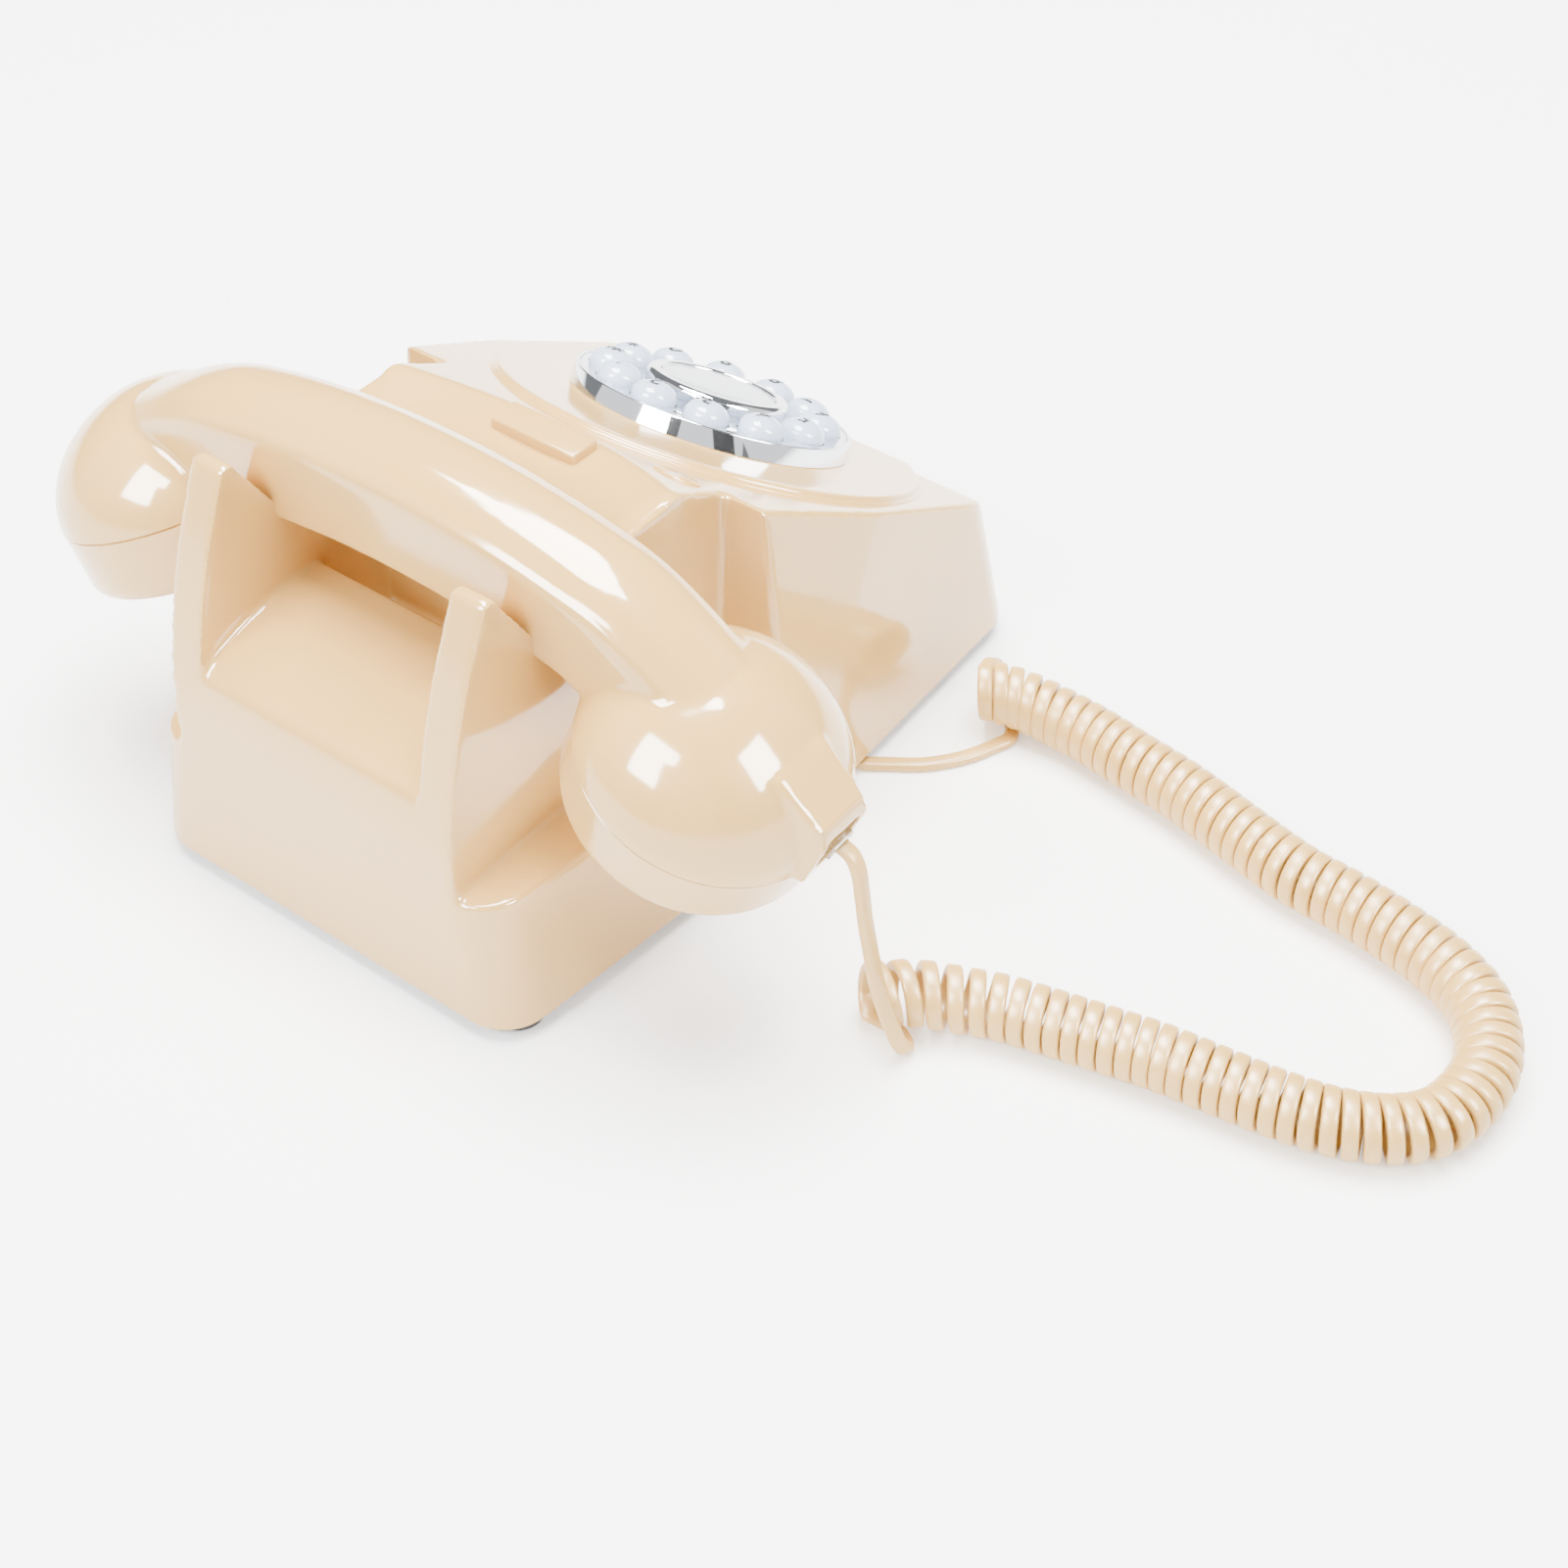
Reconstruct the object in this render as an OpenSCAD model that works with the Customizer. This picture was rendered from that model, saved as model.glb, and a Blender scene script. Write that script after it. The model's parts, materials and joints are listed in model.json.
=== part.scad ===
// Push-button desk telephone with a corded handset.
// The dial side faces -Y, +Z is up, and the origin is on the floor under the middle of the telephone.
// Depths are measured forward from the rear edge of the case, and heights up from its bottom edge.

/* [Case] */
// Depth of the case along its bottom edge
base_l = 196; // [180:1:215]
// Width of the bottom edge at the rear
rear_w = 116; // [106:1:126]
// Width of the bottom edge at its widest line
waist_w = 132; // [126:1:142]
// Depth of the widest line
waist_d = 92; // [84:1:100]
// Width of the bottom edge at the front
front_w = 126; // [118:1:134]
// How much narrower each side of the case is at the height of the neck
side_taper = 14; // [8:1:16]
// How much narrower each side is at the front, over the same height
front_taper = 6; // [3:1:10]
// Radius of the four upright corners
corner_r = 12; // [8:1:16]
// Thickness of the moulded walls
wall = 2.5; // [2:0.1:3.2]
// Height of the ledges beside the neck
ledge_h = 35; // [30:1:40]
// Height of the front lip, where the sloping face starts
lip_h = 38; // [32:1:44]
// How far the front lip stands back from the bottom edge
lip_lean = 8.5; // [4:0.5:12]
// Slope of the face that carries the dial, in degrees
face_tilt = 29; // [26:0.5:32]
// Depth of the upright back of the front block
block_d = 95; // [92:1:102]

/* [Neck and cradle] */
// Width over the neck
neck_w = 85; // [82:1:88]
// Clear width between the two rear prongs
saddle_w = 66; // [58:1:68]
// Height of the prong tips above the handle's centre line
prong_rise = 6; // [2:0.5:10]
// Height of the saddle at the rear face
saddle_h = 55; // [48:1:60]
// Height of the ridges in front of the handset
crest_h = 96; // [92:0.5:98]
// Height of the lowest line of the trough between the ridges
trough_h = 90.5; // [87:0.5:92]
// Depth of the finger well's front wall
well_front_d = 66; // [63:0.5:68]
// Height of the finger well's floor
well_h = 42; // [38:1:48]
// Drop of the handset notch's flat bottom below the handle's centre line
notch_drop = 21; // [20:0.5:24]
// Slope of the two sides of the handset notch, in degrees
notch_slope = 57; // [52:1:60]

/* [Floor plate and feet] */
// Height of the case's bottom edge above the floor
foot_h = 4.5; // [3.5:0.5:7]
// Diameter of the rubber feet
foot_d = 13; // [10:1:16]
// How far the flange of the floor plate shows under the case
flange_t = 1; // [0.8:0.1:1.5]
// Thickness of the floor plate inside the case
plate_t = 2; // [1.6:0.1:2.6]
// Diameter of the case screws
screw_d = 3; // [2.5:0.1:3.5]
// Diameter of the screw bosses
boss_d = 8; // [7:0.5:10]

/* [Dial] */
// Distance of the dial's centre up the face from the front lip
dial_up = 48; // [44:0.5:52]
// Radius of the raised round plinth
plinth_r = 55.5; // [50:0.5:56]
// Height of the plinth
plinth_t = 1.5; // [1:0.1:2]
// Radius of the chrome bezel
bezel_r = 36; // [36:0.5:40]
// Height of the bezel
bezel_t = 4.8; // [4.4:0.1:6]
// Width of the bezel's top rim
rim_w = 1.6; // [1.4:0.1:1.8]
// Thickness of the dial's face plate
dial_plate_t = 1.8; // [1.4:0.1:2.2]
// Radius of the circle of keys
key_circle_r = 26.8; // [26.4:0.1:26.8]
// Diameter of one key
key_d = 11.2; // [10:0.1:11.2]
// Height of a key above the face plate
key_h = 4.6; // [4:0.1:5.5]
// How far a key travels
key_travel = 2; // [1.5:0.1:2.5]
// Radius of the raised hub
hub_r = 18.4; // [16.4:0.1:19]
// Height of the hub
hub_h = 4; // [3:0.1:5]
// Radius of the label under the lens
label_r = 14.6; // [12:0.1:15]

/* [Trims] */
// Length of the blanking bar
bar_l = 25; // [20:1:32]
// Width of the blanking bar
bar_w = 8.5; // [6:0.5:11]
// How far the blanking bar stands up
bar_t = 3; // [2:0.1:4]
// Length of the oval indicator lens
lens_l = 13; // [10:0.5:15]
// Width of the oval indicator lens
lens_w = 6; // [4:0.5:7]

/* [Handset] */
// Radius of the handle
handle_r = 13.6; // [12.5:0.1:14.5]
// Radius of the handle's arch
arch_r = 232; // [215:1:260]
// Height of the handle's centreline
handle_h = 100; // [99:0.5:103]
// Depth of the handset's centreline
handset_d = 46; // [44:0.5:47]
// Half the distance between the centres of the two heads
head_x = 80.5; // [78:0.5:86]
// Height of the seam between a head and its cap, at its centre
seam_h = 66.5; // [63:0.5:70]
// How far each head leans in, in degrees
head_tilt = 23.5; // [18:0.5:28]
// Radius of the heads
head_r = 31; // [29:0.5:32]
// Height of a cap below the seam
cap_h = 17; // [15:0.5:20]
// Radius of a cap's outer edge
cap_edge_r = 4; // [3:0.5:5]
// Thickness of the handset's walls
shell_t = 2.6; // [2:0.1:3]
// Diameter of the sound holes
sound_hole_d = 2.2; // [1.6:0.1:3]
// How far the handset lifts
lift = 80; // [60:1:100]

/* [Hook switch] */
// Diameter of the two cradle plungers
plunger_d = 4.4; // [3.6:0.1:5]
// How far the plungers rise when the handset is lifted
plunger_travel = 4; // [3:0.1:5]
// Depth of the hook lever's hinge
hinge_d = 74; // [72:0.5:80]
// Diameter of the hook lever's hinge pin
hinge_pin_d = 3; // [2.5:0.1:4]

/* [Ringer] */
// Radius of the two gongs
gong_r = 17; // [14:0.5:18]
// Distance between the centres of the gongs
gong_pitch = 48; // [46:0.5:52]
// Height of a gong
gong_h = 11; // [8:0.5:13]
// Diameter of the clapper's ball
ball_d = 6; // [5:0.1:7]

/* [Cord] */
// Outer diameter of the coiled cord
coil_d = 15.5; // [14:0.5:17]
// Width of the flat cord
cord_w = 4; // [3.6:0.1:4.6]

/* [Fits] */
// Gap between parts that move past each other
run_gap = 0.3; // [0.2:0.05:0.5]
// Gap round parts that are pushed together
fit_gap = 0.15; // [0.1:0.05:0.25]
// Gap round a shaft that turns or slides in a hole
shaft_gap = 0.08; // [0.05:0.01:0.1]

/* [Hidden] */
$fn = 64;
hull_fn = 32;
eps = 0.01;
key_names = ["1", "2", "3", "4", "5", "6", "7", "8", "9", "0", "star", "hash"];

ivory = "#EFDEC8";
chrome = "#D8DCE0";
white = "#E9EDF2";
black = "#20262A";
steel = "#9AA0A6";
brass = "#C8A24A";
board_green = "#2F6B45";
cord_ivory = "#EAD9B8";

// The case is measured over this height where its sides taper
taper_h = 100;
// How fast the rear face leans forward low down, and how much faster above the ledges
rear_lean = 0.05;
prong_sweep = 0.0036;
sweep_from_h = 40;
// How far the back of the front block leans forward over its height
block_lean = 3;
trough_r = 145;
prong_tip_r = 2.5;
front_y = -base_l / 2;
face_sin = sin(face_tilt);
face_cos = cos(face_tilt);

// Y of a depth behind the rear edge, and Z of a height above the bottom edge
function y_at(depth) = base_l / 2 - depth;
function z_at(height) = foot_h + height;

// Height of the sloping face at a depth
function face_h(depth) = lip_h + (base_l - lip_lean - depth) * tan(face_tilt);

// Depth of the sloping face at a height
function face_d(height) = base_l - lip_lean - (height - lip_h) / tan(face_tilt);

// Depth of the rear face at a height
function rear_d(height) = rear_lean * height + prong_sweep * pow(max(0, height - sweep_from_h), 2);

// Middle of a prong, and the height of the handle's centreline over the prong's outer face
wall_x = (saddle_w + neck_w) / 4;
prong_h = handle_h + prong_rise;
notch_h = handle_h - notch_drop;
notch_axis_h = handle_h - arch_r + sqrt(pow(arch_r, 2) - pow(neck_w / 2, 2));
notch_r = handle_r + run_gap;
// Depth of each side of the notch at a height, side = 1 towards the front and -1 towards the rear
function notch_d(height, side) =
    handset_d + side * (notch_r / sin(notch_slope) + (height - notch_axis_h) / tan(notch_slope));

// Places a profile drawn as [depth, height] upright across the telephone, width wide
module across(width) {
    translate([0, y_at(0), foot_h])
        rotate([90, 0, -90])
            translate([0, 0, -width / 2])
                linear_extrude(height = width)
                    children();
}

// Places children at a depth and height on the centre plane
module at(x, depth, height) {
    translate([x, y_at(depth), z_at(height)])
        children();
}

// Places children on the sloping face, with their Z square to it and Y up the slope
module on_face(up, x = 0) {
    at(x, base_l - lip_lean - up * face_cos, lip_h + up * face_sin)
        rotate([face_tilt, 0, 0])
            children();
}

module disc(r, h, z = 0) {
    translate([0, 0, z])
        cylinder(r = r, h = h);
}

module ring(r_out, r_in, h, z = 0) {
    difference() {
        disc(r_out, h, z);
        disc(r_in, h + 2, z - 1);
    }
}

module block(size, z = 0) {
    translate([-size[0] / 2, -size[1] / 2, z])
        cube(size);
}

// ---- Case ----

// One upright corner of the case at a height, inset by t
module corner(x_low, x_high, depth, height, r, t) {
    x = x_low - x_high * height / taper_h - t;
    for (side = [-1, 1])
        translate([side * (x - r + t), y_at(depth), z_at(height)])
            cylinder(r = max(r - t, 0.5), h = eps, $fn = hull_fn);
}

// The plan outline at a height, inset by t, as six corners for a hull
module outline(height, t) {
    front_lean = lip_lean * height / lip_h;
    corner(rear_w / 2, side_taper, corner_r + rear_lean * height, height, corner_r, t);
    corner(waist_w / 2, side_taper, waist_d, height, corner_r, t);
    corner(front_w / 2, front_taper, base_l - corner_r - front_lean, height, corner_r, t);
}

module tapered_body(t, from_h, to_h) {
    hull() {
        outline(from_h, t);
        outline(to_h, t);
    }
}

// Side view of the ledges and the front block, full width
module block_profile(drop = 0) {
    back_top_d = block_d + block_lean;
    polygon([
        [0, -drop],
        [0, ledge_h],
        [block_d, ledge_h],
        [back_top_d, face_h(back_top_d)],
        [base_l - lip_lean - 6, face_h(base_l - lip_lean - 6)],
        [base_l - lip_lean - 0.5, lip_h - 2.5],
        [base_l - lip_lean + 1.2, lip_h - 8],
        [base_l, -drop]]);
}

// Side view of the neck with its ridges, the handset notch and the rear prongs
module neck_profile() {
    tip_z = prong_h - prong_tip_r;
    tip_d = (rear_d(tip_z) + notch_d(tip_z, -1)) / 2;
    polygon(concat(
        [[0, 0], [base_l - 60, 0], [base_l - 60, face_h(base_l - 60)], [face_d(crest_h), crest_h]],
        [[notch_d(crest_h - 1, 1), crest_h - 1], [notch_d(notch_h, 1), notch_h]],
        [[notch_d(notch_h, -1), notch_h], [notch_d(tip_z, -1), tip_z]],
        [for (a = [30 : 40 : 150])
            [tip_d + (notch_d(tip_z, -1) - rear_d(tip_z)) / 2 * cos(a), tip_z + prong_tip_r * sin(a)]],
        [for (h = [tip_z : -9 : saddle_h - 20]) [rear_d(h), h]]));
}

// What is cut out between the prongs: the saddle's crown and the finger well in front of it
saddle_rise = 12;
saddle_end_d = 43;
module saddle_cut() {
    rear = rear_d(saddle_h);
    span = saddle_end_d - rear;
    polygon(concat(
        [[-20, prong_h + 30], [-20, saddle_h], [rear, saddle_h]],
        [for (a = [15 : 15 : 90]) [rear + span * (1 - cos(a)), saddle_h + saddle_rise * sin(a)]],
        [[saddle_end_d + 2, saddle_h + saddle_rise - 3], [saddle_end_d + 3, well_h]],
        [[well_front_d - 2, well_h], [well_front_d, trough_h + 1], [well_front_d, prong_h + 30]]));
}

// The trough between the ridges, a long shallow cylinder along the telephone
module trough_cut(r) {
    at(0, well_front_d - 6, trough_h + trough_r)
        rotate([90, 0, 0])
            cylinder(r = r, h = 60, $fn = 128);
}

module case_outside() {
    intersection() {
        tapered_body(0, 0, taper_h + 12);
        union() {
            across(waist_w + 10)
                block_profile();
            difference() {
                across(neck_w)
                    neck_profile();
                across(saddle_w)
                    saddle_cut();
                trough_cut(trough_r);
            }
        }
    }
}

// The space inside the case: under the ledges, in the front block, and in the neck
module case_inside() {
    neck_in = neck_w - 2 * wall;
    roof_slope = wall / face_cos;
    roof_end_d = face_d(trough_h - wall + roof_slope);
    intersection() {
        tapered_body(wall, -5, taper_h + 12);
        union() {
            across(waist_w + 10)
                polygon([
                    [wall, -5],
                    [wall, ledge_h - wall],
                    [block_d + wall, ledge_h - wall],
                    [block_d + block_lean + wall, face_h(block_d + block_lean + wall) - roof_slope],
                    [base_l - lip_lean - 6, face_h(base_l - lip_lean - 6) - roof_slope],
                    [base_l - lip_lean - wall - 0.5, lip_h - 6],
                    [base_l - wall, 0],
                    [base_l - wall, -5]]);
            across(neck_in)
                polygon([
                    [wall + rear_d(saddle_h), -5],
                    [wall + rear_d(saddle_h), saddle_h - wall - 1],
                    [saddle_end_d / 2, saddle_h + saddle_rise * 0.8 - wall - 1],
                    [saddle_end_d - 2, saddle_h + saddle_rise - wall - 1],
                    [saddle_end_d - 1, well_h - wall],
                    [well_front_d + 1, well_h - wall],
                    [well_front_d + wall + 1, trough_h - wall],
                    [roof_end_d, trough_h - wall],
                    [block_d + 4, face_h(block_d + 4) - roof_slope],
                    [block_d + 4, -5]]);
        }
    }
}

screw_places = [[48, 36], [52, base_l - 36]];
screw_head_t = 1.4;
screw_l = 12;

module at_screws() {
    for (place = screw_places, side = [-1, 1])
        at(side * place[0], place[1], 0)
            children();
}

// Window in the side wall for the line's jack, open at the bottom edge
jack_w = 11;
jack_h = 9;
jack_l = 15;
jack_floor = 1.6;
jack_mouth_w = 7;
jack_mouth_h = 6;
cord_jack_d = 122;
// The cord's jack opens in a slot under the case, so that the cord leaves below the bottom edge
cord_mouth_x = 48;
cord_slot_w = 9;
line_jack_d = 60;
line_mouth_x = waist_half(line_jack_d) - 1.6;
module jack_window() {
    at(waist_w / 2, line_jack_d, 0)
        block([24, jack_w + 2 * fit_gap, jack_h + plate_t + fit_gap], -eps);
}

// The raised round step under the dial, cut off straight where the flat of the face ends
lip_round = 7;
module plinth() {
    on_face(dial_up)
        intersection() {
            disc(plinth_r, wall + plinth_t, -wall);
            translate([0, lip_round - dial_up + plinth_r, -wall])
                block([2 * plinth_r, 2 * plinth_r, wall + plinth_t], 0);
        }
}

module case_shell() {
    color(ivory)
        difference() {
            union() {
                difference() {
                    union() {
                        case_outside();
                        plinth();
                    }
                    case_inside();
                }
                intersection() {
                    at_screws()
                        disc(boss_d / 2, crest_h, plate_t);
                    case_outside();
                }
            }
            at_screws()
                disc(screw_d / 2, screw_l + 1, 0);
            on_face(dial_up)
                disc(dial_hole_r, 30, -15);
            for (side = [-1, 1])
                at(side * wall_x, handset_d, well_h - wall - 8)
                    disc(plunger_d / 2 + shaft_gap, notch_h, 0);
            at(0, bar_centre_d, trough_h - bar_sink)
                block([bar_l + 2 * fit_gap, bar_w + 2 * fit_gap, 20], 0);
            on_face(lens_up, lens_x)
                oval(lens_l + 2 * fit_gap, lens_w + 2 * fit_gap, 4, -1.2);
            jack_window();
        }
}

// ---- Floor plate, feet and screws ----

module floor_plate() {
    inside = wall + fit_gap + plate_t * lip_lean / (lip_h - 8);
    color(black)
        difference() {
            union() {
                translate([0, 0, -flange_t])
                    flat_outline(0.8, flange_t);
                flat_outline(inside, plate_t);
                for (x = [-1, 1], depth = [board_d - board_l / 2 + 6, board_d + board_l / 2 - 6])
                    at(x * (board_w / 2 - 6), depth, 0)
                        disc(3, board_h, 0);
                at_screws()
                    disc(boss_d / 2, plate_t, 0);
            }
            at_screws()
                disc(screw_d / 2 + fit_gap, plate_t + 1, 0);
            at_screws()
                disc(screw_d, screw_head_t + 5, -flange_t - 5);
            at(0, switch_d, 0)
                block([knob_w + switch_travel + 2 * run_gap, knob_l + 2 * run_gap, 10], -5);
            jack_notch(-1, cord_jack_d, cord_mouth_x);
            jack_notch(1, line_jack_d, line_mouth_x);
            at(-(cord_mouth_x + waist_w) / 2, cord_jack_d, 0)
                block([waist_w - cord_mouth_x, cord_slot_w, 10], -5);
        }
}

// The plan outline as a plate of even thickness on the bottom edge
module flat_outline(t, thickness) {
    hull()
        for (side = [-1, 1]) {
            plate_corner(side, rear_w / 2, corner_r, thickness, t);
            plate_corner(side, waist_w / 2, waist_d, thickness, t);
            plate_corner(side, front_w / 2, base_l - corner_r, thickness, t);
        }
}

module plate_corner(side, x, depth, thickness, t) {
    translate([side * (x - corner_r), y_at(depth), foot_h])
        cylinder(r = corner_r - t, h = thickness, $fn = hull_fn);
}

// Notch in the plate, down to its flange, for a jack with its mouth at x = mouth_x
module jack_notch(side, depth, mouth_x) {
    at(side * (mouth_x - jack_l / 2), depth, 0)
        block([jack_l + 2 * fit_gap, jack_w + 2 * fit_gap, 10], 0);
}

foot_places = [[44, 17], [48, 178]];

module rubber_feet() {
    color(black)
        for (place = foot_places, side = [-1, 1])
            at(side * place[0], place[1], -foot_h)
                rotate_extrude()
                    polygon([[0, 0], [foot_d / 2 - 1.5, 0], [foot_d / 2 - 0.4, 0.6],
                        [foot_d / 2, foot_h - flange_t], [0, foot_h - flange_t]]);
}

module case_screws() {
    color(steel)
        at_screws() {
            disc(screw_d / 2 - fit_gap, screw_l, screw_head_t - flange_t - eps);
            disc(screw_d - fit_gap, screw_head_t, -flange_t);
        }
}

// ---- Trims on the top ----

bar_sink = 1.2;
bar_centre_d = 86.5;
module blanking_bar() {
    color(ivory)
        at(0, bar_centre_d, trough_h - bar_sink)
            block([bar_l, bar_w, bar_t + bar_sink], 0);
}

lens_up = 106;
lens_x = -32;
module oval(l, w, h, z) {
    translate([0, 0, z])
        linear_extrude(height = h)
            polygon([for (a = [0 : 12 : 348]) [l / 2 * cos(a), w / 2 * sin(a)]]);
}

module indicator_lens() {
    color(ivory)
        on_face(lens_up, lens_x)
            oval(lens_l, lens_w, 1.2, -1.2);
}

// ---- Dial ----

// Heights over the plinth, square to the face
// How far the face plate lies under the rim of the bezel
plate_recess = 0.2;
plate_z = bezel_t - plate_recess - dial_plate_t;
dial_top_z = plate_z + dial_plate_t;
flange_r = key_d / 2 + 0.7;
flange_h = 1;
key_hole_r = key_d / 2 + run_gap;
dial_hole_r = key_circle_r + flange_r + run_gap;
mat_t = 1.2;
mat_z = plate_z - run_gap - flange_h - key_travel - run_gap - mat_t;
board_t = 1.6;
case_back_z = -plinth_t - wall;
inside_r = bezel_r - rim_w;

module at_dial() {
    on_face(dial_up)
        translate([0, 0, plinth_t])
            children();
}

module at_key(i) {
    at_dial()
        rotate([0, 0, 60 + 30 * i])
            translate([key_circle_r, 0, 0])
                rotate([0, 0, -60 - 30 * i])
                    children();
}

module dial_bezel() {
    color(chrome)
        at_dial()
            rotate_extrude($fn = 96)
                polygon([
                    [dial_hole_r, 0],
                    [bezel_r - 0.6, 0],
                    [bezel_r, 0.6],
                    [bezel_r, bezel_t - 0.9],
                    [bezel_r - 0.9, bezel_t],
                    [inside_r + 0.4, bezel_t],
                    [inside_r, bezel_t - 0.6],
                    [inside_r, plate_z],
                    [dial_hole_r, plate_z]]);
}

module dial_plate() {
    color(chrome)
        difference() {
            at_dial()
                disc(inside_r - fit_gap, dial_plate_t, plate_z);
            for (i = [0 : 11])
                at_key(i)
                    disc(key_hole_r, 10, 0);
        }
}

// A key is a short round button with a domed top, held under the plate by its flange
module key(i) {
    dome_h = 3.6;
    dome_z = dial_top_z + key_h - dome_h;
    flange_z = plate_z - run_gap;
    color(white)
        at_key(i)
            rotate_extrude()
                polygon(concat(
                    [[0, flange_z - flange_h], [flange_r, flange_z - flange_h], [flange_r, flange_z]],
                    [[key_d / 2, flange_z]],
                    [for (a = [0 : 10 : 90]) [key_d / 2 * cos(a), dome_z + dome_h * sin(a)]]));
}

hub_top_z = dial_top_z + hub_h;
card_z = hub_top_z - 2.2;
card_t = 0.4;

module hub_ring() {
    color(chrome)
        at_dial()
            rotate_extrude($fn = 96)
                polygon([
                    [label_r - 1.5, dial_top_z],
                    [hub_r, dial_top_z],
                    [hub_r, hub_top_z - 1.4],
                    [hub_r - 0.6, hub_top_z - 0.4],
                    [hub_r - 1.2, hub_top_z],
                    [label_r + 0.8, hub_top_z],
                    [label_r + fit_gap, hub_top_z - 0.6],
                    [label_r + fit_gap, card_z],
                    [label_r - 1.5, card_z]]);
}

module label_card() {
    color("white")
        at_dial()
            disc(label_r, card_t, card_z);
}

module label_lens() {
    lens_z = card_z + card_t;
    color([0.9, 0.93, 0.95, 0.5])
        at_dial()
            rotate_extrude($fn = 96)
                polygon([[0, lens_z], [label_r, lens_z], [label_r, lens_z + 1], [label_r - 1, lens_z + 1.5],
                    [label_r * 0.6, lens_z + 2], [0, lens_z + 2.2]]);
}

module key_mat() {
    color(white)
        at_dial()
            disc(dial_hole_r - 0.5, mat_t, mat_z);
}

module key_board() {
    color(board_green)
        at_dial() {
            disc(dial_hole_r - 0.5, mat_z - case_back_z, case_back_z);
            disc(dial_hole_r + 4, board_t, case_back_z - board_t);
        }
}

// ---- Parts inside the case ----

board_w = 84;
board_rear_d = 128;
board_l = base_l - 8 - board_rear_d;
board_d = board_rear_d + board_l / 2;
board_h = 7;

module main_board() {
    color(board_green)
        at(0, board_d, board_h) {
            block([board_w, board_l, board_t], 0);
            translate([-22, -12, 0])
                block([18, 10, 8], board_t);
            translate([10, 14, 0])
                block([26, 8, 3], board_t);
            translate([26, -16, 0])
                disc(5, 11, board_t);
            translate([12, -16, 0])
                disc(4, 9, board_t);
        }
}

// A jack stands on the flange of the floor plate, with its mouth outwards
module jack(side, depth, mouth_x) {
    color(black)
        at(side * (mouth_x - jack_l / 2), depth, 0)
            difference() {
                block([jack_l, jack_w, jack_h + plate_t], 0);
                translate([side * 4, 0, 0])
                    block([jack_l, jack_mouth_w, jack_mouth_h], plate_t + jack_floor);
            }
}

// Half width of the bottom edge at a depth
function waist_half(depth) = depth < waist_d
    ? rear_w / 2 + (waist_w - rear_w) / 2 * depth / waist_d
    : waist_w / 2 + (front_w - waist_w) / 2 * (depth - waist_d) / (base_l - waist_d);

module line_jack() {
    jack(1, line_jack_d, line_mouth_x);
}

module cord_jack() {
    jack(-1, cord_jack_d, cord_mouth_x);
}

ballast_w = 86;
ballast_l = 24;
ballast_t = 3;
ballast_d = 99;

module ballast_plate() {
    color(steel)
        at(0, ballast_d, plate_t)
            block([ballast_w, ballast_l, ballast_t], 0);
}

// ---- Ringer ----

gong_d = 28;
gong_z = 10;
gong_t = 2;
clapper_d = 60;
clapper_z = gong_z + 4;
clapper_pin_r = 1.5;
arm_t = 2;
frame_t = 1.6;
frame_rear_d = 10;
frame_front_d = 79;
post_r = 3;

module ringer_frame() {
    color(steel)
        union() {
            at(0, (frame_rear_d + frame_front_d) / 2, plate_t)
                block([2 * lever_arm_x + 2, frame_front_d - frame_rear_d, frame_t], 0);
            for (side = [-1, 1])
                at(side * gong_pitch / 2, gong_d, plate_t)
                    disc(post_r, gong_z + gong_h - gong_t - plate_t, 0);
            at(0, clapper_d, plate_t) {
                disc(clapper_pin_r, clapper_z + 6 - plate_t, 0);
                disc(post_r, clapper_z - run_gap - plate_t, 0);
            }
        }
}

ringer_coil_d = 72;
ringer_coil_l = 30;
winding_r = 5;
cheek_size = 13;
cheek_t = 2;

module ringer_coil() {
    color(brass)
        at(0, ringer_coil_d, plate_t + frame_t) {
            translate([-ringer_coil_l / 2, 0, cheek_size / 2])
                rotate([0, 90, 0])
                    disc(winding_r, ringer_coil_l, 0);
            for (side = [-1, 1])
                translate([side * (ringer_coil_l - cheek_t) / 2, 0, 0])
                    block([cheek_t, cheek_size, cheek_size], 0);
        }
}

module gong(side) {
    color(brass)
        at(side * gong_pitch / 2, gong_d, 0)
            rotate_extrude()
                polygon([
                    [0, gong_z + gong_h - gong_t],
                    [6, gong_z + gong_h - gong_t],
                    [gong_r * 0.8 - 1, gong_z + gong_h - 2 * gong_t],
                    [gong_r - 1.6, gong_z],
                    [gong_r, gong_z],
                    [gong_r * 0.8 + 0.8, gong_z + gong_h - gong_t],
                    [6, gong_z + gong_h],
                    [0, gong_z + gong_h]]);
}

module gong_left() {
    gong(-1);
}

module gong_right() {
    gong(1);
}

module clapper() {
    color(steel)
        difference() {
            union() {
                at(0, clapper_d, clapper_z)
                    disc(3.2, 4, 0);
                at(0, (clapper_d + gong_d) / 2, clapper_z + 1)
                    block([arm_t, clapper_d - gong_d, arm_t], 0);
                at(0, gong_d, clapper_z + 2)
                    sphere(d = ball_d);
            }
            at(0, clapper_d, clapper_z)
                disc(clapper_pin_r + shaft_gap, 20, -5);
        }
}

// ---- Hook switch ----

bar_h = 28;
bar_r = 2;
lever_arm_x = 27;

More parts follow.
